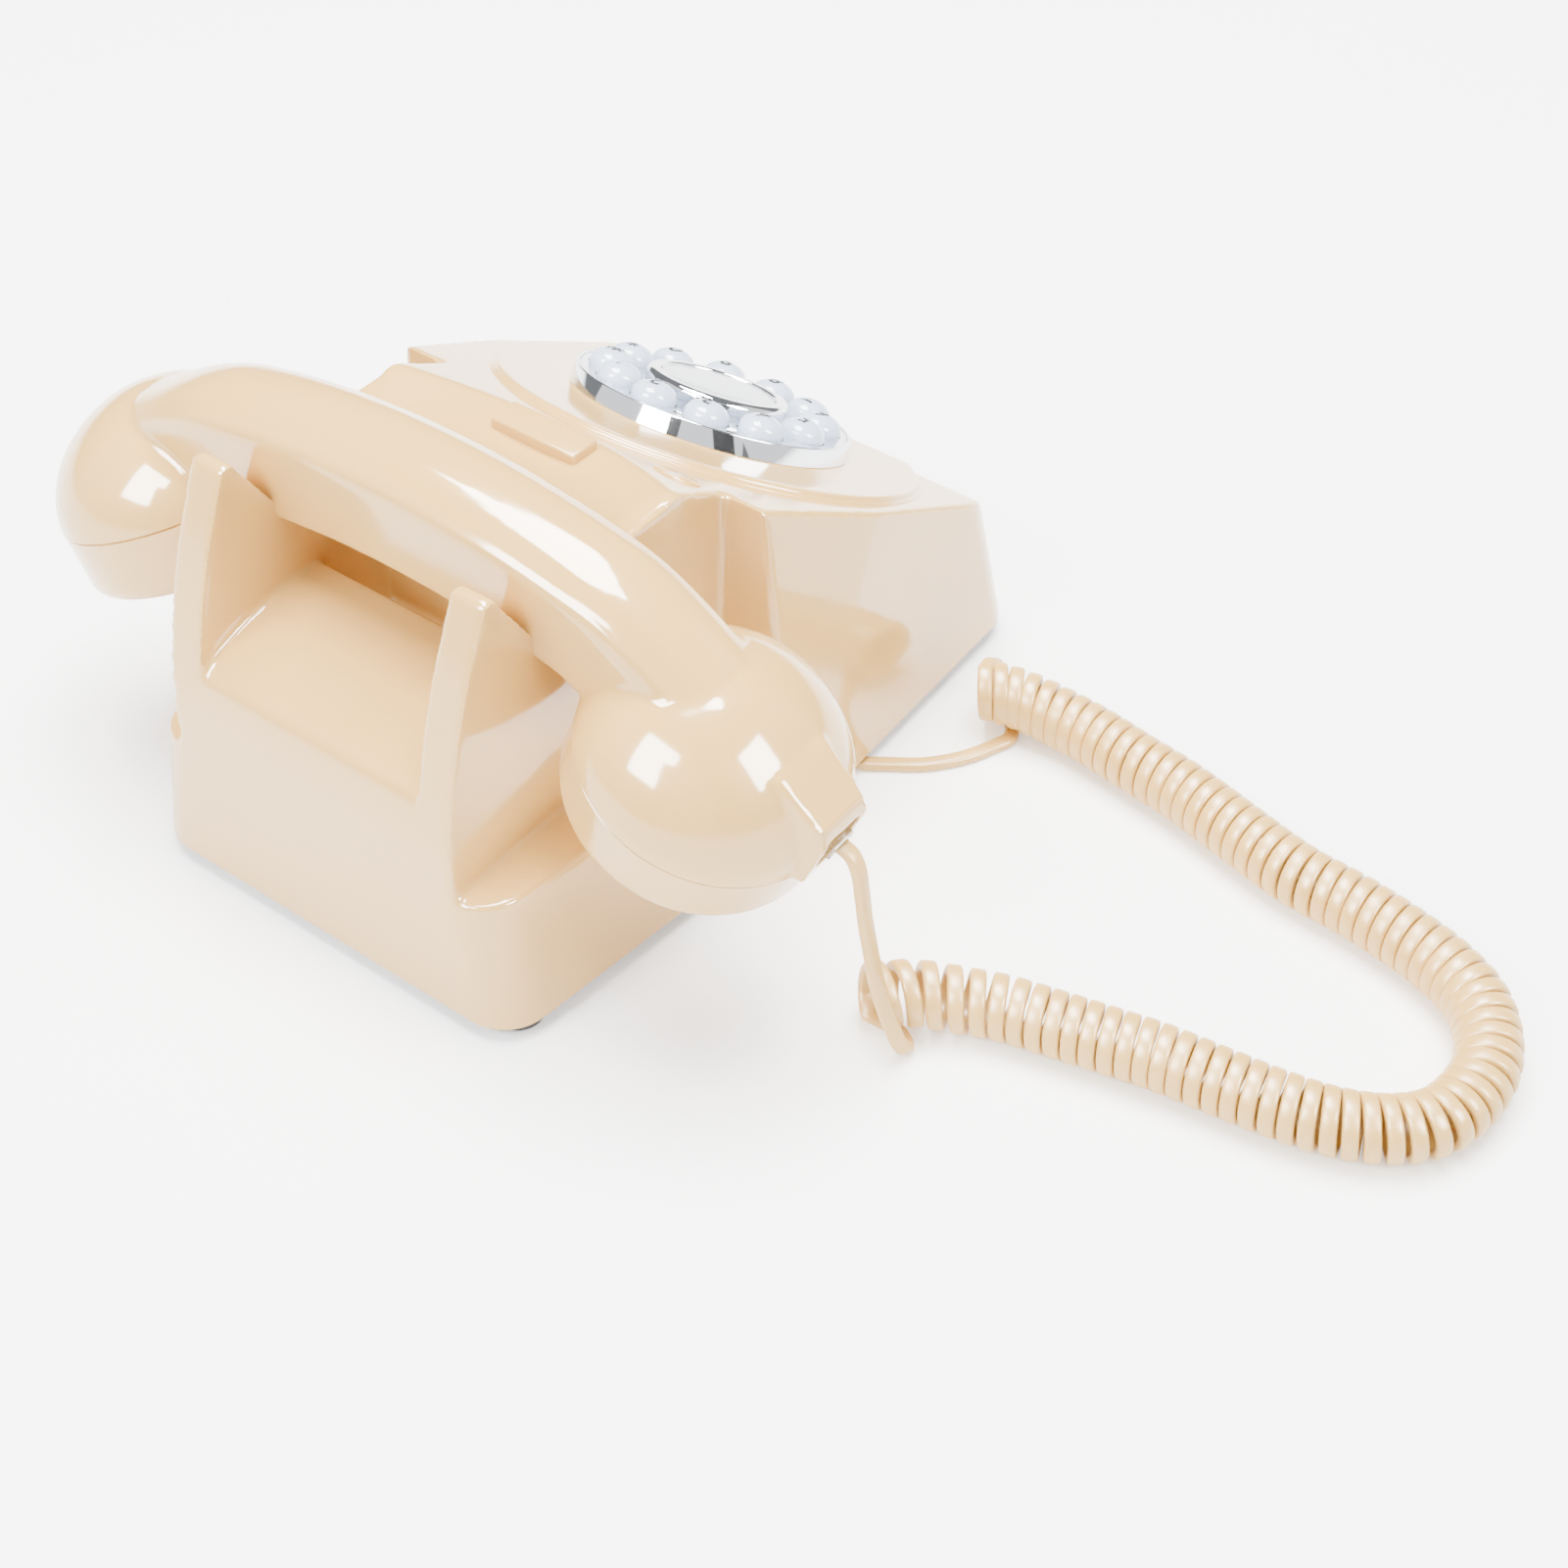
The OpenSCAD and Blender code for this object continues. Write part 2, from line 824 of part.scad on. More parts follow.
module hook_lever() {
    bar_half = neck_w / 2 - wall - run_gap;
    color(steel)
        difference() {
            union() {
                at(-bar_half, handset_d, bar_h)
                    rotate([0, 90, 0])
                        disc(bar_r, 2 * bar_half, 0);
                for (side = [-1, 1])
                    at(side * lever_arm_x, (handset_d + hinge_d) / 2, bar_h - 1)
                        block([3, hinge_d - handset_d, 2], 0);
                at(-lever_arm_x - 1.5, hinge_d, bar_h)
                    rotate([0, 90, 0])
                        disc(hinge_pin_d / 2 + 1.8, 2 * lever_arm_x + 3, 0);
            }
            at(-lever_arm_x - 5, hinge_d, bar_h)
                rotate([0, 90, 0])
                    disc(hinge_pin_d / 2 + shaft_gap, 2 * lever_arm_x + 10, 0);
        }
}

module hook_switch() {
    cheek_x = lever_arm_x + 1.5 + run_gap;
    color(black)
        union() {
            at(-cheek_x - 2, hinge_d, bar_h)
                rotate([0, 90, 0])
                    disc(hinge_pin_d / 2, 2 * cheek_x + 4, 0);
            for (side = [-1, 1])
                at(side * (cheek_x + 1.5), hinge_d, plate_t)
                    block([3, 9, bar_h - plate_t + 4], 0);
            at(0, hinge_d + 9, plate_t)
                block([2 * cheek_x + 6, 6, 8], 0);
            for (side = [-1, 1])
                at(side * (cheek_x + 1.5), hinge_d + 4, plate_t)
                    block([3, 9, 8], 0);
        }
}

// Just under the handle's lowest line, at the plunger's outer side
plunger_top_h = handle_h - arch_r - run_gap
    + sqrt(pow(arch_r - handle_r, 2) - pow(wall_x + plunger_d / 2, 2));

module plunger(side) {
    bottom = bar_h + bar_r + run_gap;
    color(white)
        at(side * wall_x, handset_d, 0)
            rotate_extrude()
                polygon([
                    [0, bottom],
                    [plunger_d / 2, bottom],
                    [plunger_d / 2, plunger_top_h - 1],
                    [plunger_d / 2 - 1, plunger_top_h],
                    [0, plunger_top_h]]);
}

module plunger_left() {
    plunger(-1);
}

module plunger_right() {
    plunger(1);
}

// ---- Ringer volume switch ----

switch_d = 115.5;
switch_travel = 4;
knob_w = 4;
knob_l = 3;
// The slider's shoulders, which ride on the floor plate
shoulder = 1;
shoulder_t = 1.5;

module volume_switch() {
    room = knob_w + 2 * shoulder + switch_travel + 2 * run_gap;
    color(black)
        at(0, switch_d, plate_t)
            difference() {
                block([room + 6, knob_l + 2 * shoulder + 2 * run_gap + 2, 5], 0);
                block([room, knob_l + 2 * shoulder + 2 * run_gap, shoulder_t + 2 * run_gap + 1], -1);
            }
}

module volume_knob() {
    color(white)
        at(-switch_travel / 2, switch_d, 0) {
            block([knob_w, knob_l, flange_t + 1 + plate_t + run_gap + eps], -flange_t - 1);
            block([knob_w + 2 * shoulder, knob_l + 2 * shoulder, shoulder_t], plate_t + run_gap);
        }
}

// ---- Handset ----

// Places children at a head, with Z along its axis, up out of the seam
module at_head(side) {
    at(side * head_x, handset_d, seam_h)
        rotate([0, side * head_tilt, 0])
            children();
}

arch_centre_h = handle_h - arch_r;
handle_half_angle = asin((head_x - 20) / arch_r);

module handle_bar(r) {
    at(0, handset_d, arch_centre_h)
        rotate([90, 0, 0])
            rotate([0, 0, 90 - handle_half_angle])
                rotate_extrude(angle = 2 * handle_half_angle, $fn = 256)
                    translate([arch_r, 0])
                        circle(r = r, $fn = 48);
}

// The outside of a head above its seam: a band, then a dome
band_h = 3;
module dome(r, band) {
    rotate_extrude($fn = 96)
        intersection() {
            union() {
                translate([0, band])
                    circle(r = r, $fn = 96);
                square([r, band]);
            }
            square([r + 1, r + band + 1]);
        }
}

// The throat where the handle grows out of a dome
module throat(side) {
    end_a = handle_half_angle * 0.86;
    hull() {
        at(side * arch_r * sin(end_a), handset_d, arch_centre_h + arch_r * cos(end_a))
            rotate([0, side * (90 + end_a), 0])
                cylinder(r = handle_r, h = 0.5, center = true, $fn = hull_fn);
        at(side * (head_x - 8), handset_d, seam_h + head_r * 0.42)
            sphere(r = head_r * 0.62, $fn = hull_fn);
    }
}

jack_up = 8;
jack_size = [13, 10.5, 9.5];

// Places children at the mouth of the handset's jack, with X pointing out of it
module at_handset_jack() {
    at_head(-1)
        translate([-head_r, 0, jack_up])
            rotate([0, 0, 180])
                children();
}

module handset_shell() {
    color(ivory)
        difference() {
            union() {
                handle_bar(handle_r);
                for (side = [-1, 1]) {
                    at_head(side)
                        dome(head_r, band_h);
                    throat(side);
                }
            }
            handle_bar(handle_r - shell_t);
            for (side = [-1, 1])
                at_head(side) {
                    translate([0, 0, -eps])
                        dome(head_r - shell_t, band_h);
                    disc(head_r + 2, head_r, -head_r);
                }
            at_head(-1)
                translate([-head_r, 0, jack_up])
                    block([jack_size[0], jack_size[1] + 2 * fit_gap, jack_size[2] + 2 * fit_gap],
                        -jack_size[2] / 2 - fit_gap);
        }
}

// A cap is a cup with a dished face, screwed on below the seam
module cap(holes, hole_circle) {
    rim = head_r - 0.3;
    difference() {
        rotate_extrude($fn = 96)
            polygon(concat(
                [[rim - shell_t, -fit_gap], [rim, -fit_gap], [rim - 0.6, -cap_h + cap_edge_r]],
                [for (a = [0 : 15 : 90])
                    [rim - 0.6 - cap_edge_r + cap_edge_r * cos(a), -cap_h + cap_edge_r - cap_edge_r * sin(a)]],
                [[rim - 9, -cap_h + 1.2], [12, -cap_h + 3.2], [0, -cap_h + 3.8]],
                [[0, -cap_h + 6.2], [12, -cap_h + 5.6], [rim - shell_t - 5, -cap_h + 3.6]],
                [[rim - shell_t - 1.2, -cap_h + 6.5]]));
        for (i = [0 : holes - 1])
            rotate([0, 0, 360 / holes * i])
                translate([hole_circle, 0, -cap_h - 5])
                    cylinder(d = sound_hole_d, h = 20, $fn = 24);
        translate([0, 0, -cap_h - 5])
            cylinder(d = sound_hole_d, h = 20, $fn = 24);
    }
}

module ear_cap() {
    color(ivory)
        at_head(1)
            cap(6, 5.5);
}

module mouth_cap() {
    color(ivory)
        at_head(-1)
            cap(8, 7);
}

receiver_r = 22;
microphone_r = 20;
capsule_h = 8;
capsule_seat = 6.3;
capsule_step = 5;
capsule_back_h = 3;

module capsule(side, r) {
    at_head(side) {
        disc(r, capsule_h, -cap_h + capsule_seat);
        disc(r - capsule_step, capsule_back_h, -cap_h + capsule_seat + capsule_h);
    }
}

module receiver_capsule() {
    color(steel)
        capsule(1, receiver_r);
}

module microphone_capsule() {
    color(black)
        capsule(-1, microphone_r);
}

module handset_jack() {
    color(black)
        at_head(-1)
            translate([-head_r + 1.2 + jack_size[0] / 2, 0, jack_up])
                difference() {
                    block(jack_size, -jack_size[2] / 2);
                    translate([-2.5, 0, 0])
                        block([jack_size[0], jack_mouth_w, jack_mouth_h], -jack_mouth_h / 2);
                }
}

weight_l = 56;
weight_w = 11;
weight_h = 9;

module handset_weight() {
    color(steel)
        at(0, handset_d, handle_h - sqrt(pow(handle_r - shell_t, 2) - pow(weight_w / 2, 2)) + run_gap)
            block([weight_l, weight_w, weight_h], 0);
}

// ---- Plugs and cord ----

plug_w = 6.4;
plug_t = 4.6;
plug_l = 11;
// How far a plug stands out of its jack, and where the two cord exits are
plug_out = 2.2;
plug_out_r = head_r + plug_out;
base_plug_x = cord_mouth_x + plug_out;
base_plug_h = plate_t + jack_floor + jack_mouth_h / 2;

// A plug along X from its nose to the face where the cord comes out
module plug() {
    color([0.92, 0.94, 0.95])
        translate([-plug_l, 0, 0]) {
            translate([plug_l / 2, 0, 0])
                block([plug_l, plug_w, plug_t], -plug_t / 2);
            translate([plug_l - 4.2, 0, plug_t / 2])
                block([6, 2.6, 0.5], 0);
        }
}

module handset_plug() {
    at_head(-1)
        translate([-plug_out_r, 0, jack_up])
            rotate([0, 0, 180])
                plug();
}

module base_plug() {
    at(-base_plug_x, cord_jack_d, base_plug_h)
        rotate([0, 0, 180])
            plug();
}

// Sweeps a round tube with flat ends along a list of points, its sides laid out from the direction ref
function unit(v) = v / norm(v);
function heading(p, i) =
    i == 0 ? unit(p[1] - p[0])
    : i == len(p) - 1 ? unit(p[i] - p[i - 1])
    : unit(unit(p[i + 1] - p[i]) + unit(p[i] - p[i - 1]));

module tube(path, r, sides, ref = [0, 0, 1]) {
    last = len(path) - 1;
    points = [for (i = [0 : last])
        let (d = heading(path, i), u = unit(cross(d, ref)), v = cross(d, u))
            for (k = [0 : sides - 1])
                path[i] + r * cos(360 / sides * k) * u + r * sin(360 / sides * k) * v];
    faces = concat(
        [[for (k = [0 : sides - 1]) k]],
        [[for (k = [sides - 1 : -1 : 0]) last * sides + k]],
        [for (i = [0 : last - 1], k = [0 : sides - 1])
            let (a = i * sides + k, b = i * sides + (k + 1) % sides)
                each [[a, a + sides, b + sides], [a, b + sides, b]]]);
    polyhedron(points = points, faces = faces, convexity = 10);
}

// Centreline of the coiled cord, lying on the floor
coil_route = [for (p = [
    [-79, -58], [-87, -62], [-97, -64], [-108, -64], [-122, -62], [-137, -60], [-154, -56], [-172, -52],
    [-188, -51], [-202, -49], [-214, -46], [-224, -41], [-231, -33], [-235, -23], [-235, -12],
    [-232, -3], [-225, 4], [-215, 9], [-203, 12], [-190, 14], [-176, 16], [-163, 19], [-151, 22],
    [-140, 25], [-131, 29], [-123, 34], [-117, 41]])
    [p[0], p[1], coil_d / 2]];

module coiled_cord() {
    color(cord_ivory)
        tube(coil_route, coil_d / 2, 12);
}

// The two straight ends of the cord start square to their plugs and run into the coil
cord_lead = 3;
handset_exit = [
    -head_x - plug_out_r * cos(head_tilt) - jack_up * sin(head_tilt),
    y_at(handset_d),
    z_at(seam_h) - plug_out_r * sin(head_tilt) + jack_up * cos(head_tilt)];
handset_tail_route = concat(
    [handset_exit, handset_exit - cord_lead * [cos(head_tilt), 0, sin(head_tilt)]],
    [[-119.5, 52, 60], [-120, 52, 55], [-120, 52, 48], [-121, 52, 40], [-123.5, 52, 31], [-126, 51.5, 23]],
    [[-127.5, 50, 16], [-127, 47.5, 10], [-124.5, 44.5, 7], [-121.5, 42, 6.5], [-119, 39.5, 7]]);

module handset_tail() {
    color(cord_ivory)
        tube(handset_tail_route, cord_w / 2, 8, [0, 1, 0]);
}

base_exit = [-base_plug_x, y_at(cord_jack_d), z_at(base_plug_h)];
base_tail_route = concat(
    [base_exit, base_exit - [cord_lead, 0, 0]],
    [[-56, -24, 8], [-59, -24.5, 5], [-62, -25.5, 2.8], [-65, -27, 2.1], [-69, -30, 2.1], [-76, -35, 2.1]],
    [[-81, -40.5, 2.1], [-84.5, -46, 2.1], [-87, -52, 2.1], [-88.5, -57, 2.8], [-90, -61, 5]]);

module base_tail() {
    color(cord_ivory)
        tube(base_tail_route, cord_w / 2, 8);
}

case_shell();
floor_plate();
rubber_feet();
case_screws();
blanking_bar();
indicator_lens();
dial_bezel();
dial_plate();
hub_ring();
label_card();
label_lens();
key_mat();
key_board();
for (i = [0 : 11])
    key(i);
main_board();
line_jack();
cord_jack();
ballast_plate();
ringer_frame();
ringer_coil();
gong_left();
gong_right();
clapper();
hook_switch();
hook_lever();
plunger_left();
plunger_right();
volume_switch();
volume_knob();
handset_shell();
ear_cap();
mouth_cap();
receiver_capsule();
microphone_capsule();
handset_jack();
handset_weight();
handset_plug();
base_plug();
handset_tail();
coiled_cord();
base_tail();
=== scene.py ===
"""Corded push-button desk telephone: moulded case with a cradle, chrome key dial, handset and cord.

Sizes are in millimetres inside the classes and become metres when a piece is finished. Depths are
measured forward from the rear edge of the case and heights up from its bottom edge, as in the
frame's own source.
"""

import json
import logging
import math
from dataclasses import dataclass, field
from enum import Enum
from typing import Callable, Optional, Sequence

import bmesh
import bpy
from mathutils import Matrix, Vector

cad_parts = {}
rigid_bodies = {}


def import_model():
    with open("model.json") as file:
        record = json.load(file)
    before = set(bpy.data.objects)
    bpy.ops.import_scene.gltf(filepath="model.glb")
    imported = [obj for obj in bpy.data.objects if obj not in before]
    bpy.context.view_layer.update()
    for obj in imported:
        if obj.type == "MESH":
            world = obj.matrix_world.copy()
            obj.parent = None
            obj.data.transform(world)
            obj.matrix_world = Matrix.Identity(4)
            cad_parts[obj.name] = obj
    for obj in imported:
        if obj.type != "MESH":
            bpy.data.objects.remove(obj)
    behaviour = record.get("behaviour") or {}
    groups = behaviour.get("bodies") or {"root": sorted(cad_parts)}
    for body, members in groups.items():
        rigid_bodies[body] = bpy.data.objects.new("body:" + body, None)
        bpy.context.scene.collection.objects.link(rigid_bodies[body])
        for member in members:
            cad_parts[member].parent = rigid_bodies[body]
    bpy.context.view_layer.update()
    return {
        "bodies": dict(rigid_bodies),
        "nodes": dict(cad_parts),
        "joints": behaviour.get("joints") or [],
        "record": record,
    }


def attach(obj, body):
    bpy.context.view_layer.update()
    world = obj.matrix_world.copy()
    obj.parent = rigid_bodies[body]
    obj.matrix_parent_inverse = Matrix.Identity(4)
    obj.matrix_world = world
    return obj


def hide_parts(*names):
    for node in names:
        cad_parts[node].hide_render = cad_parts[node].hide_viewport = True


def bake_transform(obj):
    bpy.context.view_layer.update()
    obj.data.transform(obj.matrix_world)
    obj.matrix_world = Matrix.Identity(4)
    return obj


LOG = logging.getLogger("telephone")
MM = 0.001
HALF_LENGTH = 98.0
FOOT_HEIGHT = 4.5
UP = Vector((0, 0, 1))

# Sockets of a colour mix, which go by number because its value sockets share their names
MIX_FIRST, MIX_SECOND, MIX_RESULT = 6, 7, 2
# Nearly all of a noise pattern lies in this range
NOISE_RANGE = {"From Min": 0.3, "From Max": 0.7}

# Place and outward direction of one step of the cord
Step = tuple[Vector, Vector]


class Body(str, Enum):
    """The rigid bodies that pieces ride on."""

    BASE = "base"
    HANDSET = "handset"


class Side(int, Enum):
    """Left or right of the middle plane, as the sign of X."""

    LEFT = -1
    RIGHT = 1


# ---- Node helpers ----


def linear(hex_colour: str) -> tuple[float, float, float, float]:
    """Turns an sRGB hex colour into a linear one.

    Args:
        hex_colour: Six hex digits, with or without a leading mark.

    Returns:
        Linear red, green, blue and an alpha of one.
    """
    digits = hex_colour.lstrip("#")
    channels = [int(digits[i : i + 2], 16) / 255 for i in (0, 2, 4)]
    low = [c / 12.92 if c <= 0.04045 else ((c + 0.055) / 1.055) ** 2.4 for c in channels]
    return (low[0], low[1], low[2], 1.0)


def add_node(
    tree: bpy.types.NodeTree,
    kind: str,
    values: Optional[dict] = None,
    links: Optional[dict] = None,
    **settings: object,
) -> bpy.types.Node:
    """Adds one node with its settings, socket values and incoming links.

    Args:
        tree: The node tree.
        kind: The node's type name.
        values: Socket name to value.
        links: Socket name to the output that feeds it.
        **settings: Properties of the node itself.

    Returns:
        The new node.
    """
    node = tree.nodes.new(kind)
    for name, value in settings.items():
        setattr(node, name, value)
    for name, value in (values or {}).items():
        node.inputs[name].default_value = value
    for name, source in (links or {}).items():
        tree.links.new(source, node.inputs[name])
    return node


def start_material(name: str) -> tuple[bpy.types.Material, bpy.types.NodeTree, bpy.types.Node]:
    """Starts a material with only its output and a Principled shader.

    Args:
        name: The material's name.

    Returns:
        The material, its node tree and the shader node.
    """
    material = bpy.data.materials.new(name)
    material.use_nodes = True
    tree = material.node_tree
    tree.nodes.clear()
    shader = add_node(tree, "ShaderNodeBsdfPrincipled")
    add_node(tree, "ShaderNodeOutputMaterial", links={"Surface": shader.outputs["BSDF"]})
    return material, tree, shader


# ---- Finishes ----


@dataclass(frozen=True)
class MouldedPlastic:
    """Injection-moulded plastic: even colour, a faint flow mottle and a polished or rough skin."""

    name: str
    colour: str
    second: str
    roughness: float = 0.16
    mottle_mm: float = 45.0
    skin_mm: float = 2.4
    skin_depth_mm: float = 0.004
    coat: float = 0.0
    coat_roughness: float = 0.06
    polish_mm: float = 12.0
    ior: float = 1.53

    def build(self) -> bpy.types.Material:
        """Builds the material.

        Returns:
            The material.
        """
        material, tree, shader = start_material(self.name)
        place = add_node(tree, "ShaderNodeTexCoord")
        flow = add_node(
            tree,
            "ShaderNodeTexNoise",
            {"Scale": 1 / (self.mottle_mm * MM), "Detail": 2.0, "Roughness": 0.5},
            {"Vector": place.outputs["Object"]},
        )
        mix = add_node(
            tree, "ShaderNodeMix", links={"Factor": flow.outputs["Fac"]}, data_type="RGBA"
        )
        mix.inputs[MIX_FIRST].default_value = linear(self.colour)
        mix.inputs[MIX_SECOND].default_value = linear(self.second)
        tree.links.new(mix.outputs[MIX_RESULT], shader.inputs["Base Color"])
        # The mould's polish isn't perfectly even, which softens reflections by a few hundredths
        polish = add_node(
            tree,
            "ShaderNodeTexNoise",
            {"Scale": 1 / (self.polish_mm * MM), "Detail": 3.0},
            {"Vector": place.outputs["Object"]},
        )
        spread = add_node(
            tree,
            "ShaderNodeMapRange",
            {**NOISE_RANGE, "To Min": self.roughness * 0.85, "To Max": self.roughness * 1.2},
            {"Value": polish.outputs["Fac"]},
        )
        tree.links.new(spread.outputs["Result"], shader.inputs["Roughness"])
        skin = add_node(
            tree,
            "ShaderNodeTexNoise",
            {"Scale": 1 / (self.skin_mm * MM), "Detail": 2.0},
            {"Vector": place.outputs["Object"]},
        )
        bump = add_node(
            tree,
            "ShaderNodeBump",
            {"Strength": 1.0, "Distance": self.skin_depth_mm * MM},
            {"Height": skin.outputs["Fac"]},
        )
        tree.links.new(bump.outputs["Normal"], shader.inputs["Normal"])
        shader.inputs["IOR"].default_value = self.ior
        shader.inputs["Coat Weight"].default_value = self.coat
        shader.inputs["Coat Roughness"].default_value = self.coat_roughness
        return material


@dataclass(frozen=True)
class PlainMetal:
    """A metal surface: plated, brushed, spun or raw, by its roughness and the size of its marks."""

    name: str
    colour: str
    roughness: float
    marks_mm: float = 6.0
    marks_depth_mm: float = 0.002
    spread: float = 0.3

    def build(self) -> bpy.types.Material:
        """Builds the material.

        Returns:
            The material.
        """
        material, tree, shader = start_material(self.name)
        shader.inputs["Base Color"].default_value = linear(self.colour)
        shader.inputs["Metallic"].default_value = 1.0
        place = add_node(tree, "ShaderNodeTexCoord")
        marks = add_node(
            tree,
            "ShaderNodeTexNoise",
            {"Scale": 1 / (self.marks_mm * MM), "Detail": 4.0},
            {"Vector": place.outputs["Object"]},
        )
        spread = add_node(
            tree,
            "ShaderNodeMapRange",
            {
                **NOISE_RANGE,
                "To Min": self.roughness * (1 - self.spread),
                "To Max": self.roughness * (1 + self.spread),
            },
            {"Value": marks.outputs["Fac"]},
        )
        tree.links.new(spread.outputs["Result"], shader.inputs["Roughness"])
        bump = add_node(
            tree,
            "ShaderNodeBump",
            {"Strength": 1.0, "Distance": self.marks_depth_mm * MM},
            {"Height": marks.outputs["Fac"]},
        )
        tree.links.new(bump.outputs["Normal"], shader.inputs["Normal"])
        return material


@dataclass(frozen=True)
class ClearMoulding:
    """Clear polycarbonate: a lens or a plug, nearly colourless, with a polished skin."""

    name: str
    tint: str
    roughness: float = 0.04
    haze_mm: float = 8.0
    ior: float = 1.5

    def build(self) -> bpy.types.Material:
        """Builds the material.

        Returns:
            The material.
        """
        material, tree, shader = start_material(self.name)
        shader.inputs["Base Color"].default_value = linear(self.tint)
        shader.inputs["Transmission Weight"].default_value = 1.0
        shader.inputs["IOR"].default_value = self.ior
        place = add_node(tree, "ShaderNodeTexCoord")
        haze = add_node(
            tree,
            "ShaderNodeTexNoise",
            {"Scale": 1 / (self.haze_mm * MM)},
            {"Vector": place.outputs["Object"]},
        )
        spread = add_node(
            tree,
            "ShaderNodeMapRange",
            {"To Min": self.roughness * 0.6, "To Max": self.roughness * 1.6},
            {"Value": haze.outputs["Fac"]},
        )
        tree.links.new(spread.outputs["Result"], shader.inputs["Roughness"])
        return material


@dataclass(frozen=True)
class PrintedCard:
    """White card with two faint ruled lines, left blank for a number."""

    name: str
    paper: str
    ink: str
    line_pitch_mm: float = 5.0
    line_mm: float = 0.35
    roughness: float = 0.6

    def build(self) -> bpy.types.Material:
        """Builds the material.

        Returns:
            The material.
        """
        material, tree, shader = start_material(self.name)
        place = add_node(tree, "ShaderNodeTexCoord")
        split = add_node(
            tree, "ShaderNodeSeparateXYZ", links={"Vector": place.outputs["Object"]}
        )
        steps = add_node(
            tree,
            "ShaderNodeMath",
            links={0: split.outputs["Z"]},
            operation="PINGPONG",
        )
        steps.inputs[1].default_value = self.line_pitch_mm * MM / 2
        ruled = add_node(tree, "ShaderNodeMath", links={0: steps.outputs[0]}, operation="LESS_THAN")
        ruled.inputs[1].default_value = self.line_mm * MM / 4
        mix = add_node(
            tree, "ShaderNodeMix", links={"Factor": ruled.outputs[0]}, data_type="RGBA"
        )
        mix.inputs[MIX_FIRST].default_value = linear(self.paper)
        mix.inputs[MIX_SECOND].default_value = linear(self.ink)
        tree.links.new(mix.outputs[MIX_RESULT], shader.inputs["Base Color"])
        shader.inputs["Roughness"].default_value = self.roughness
        return material


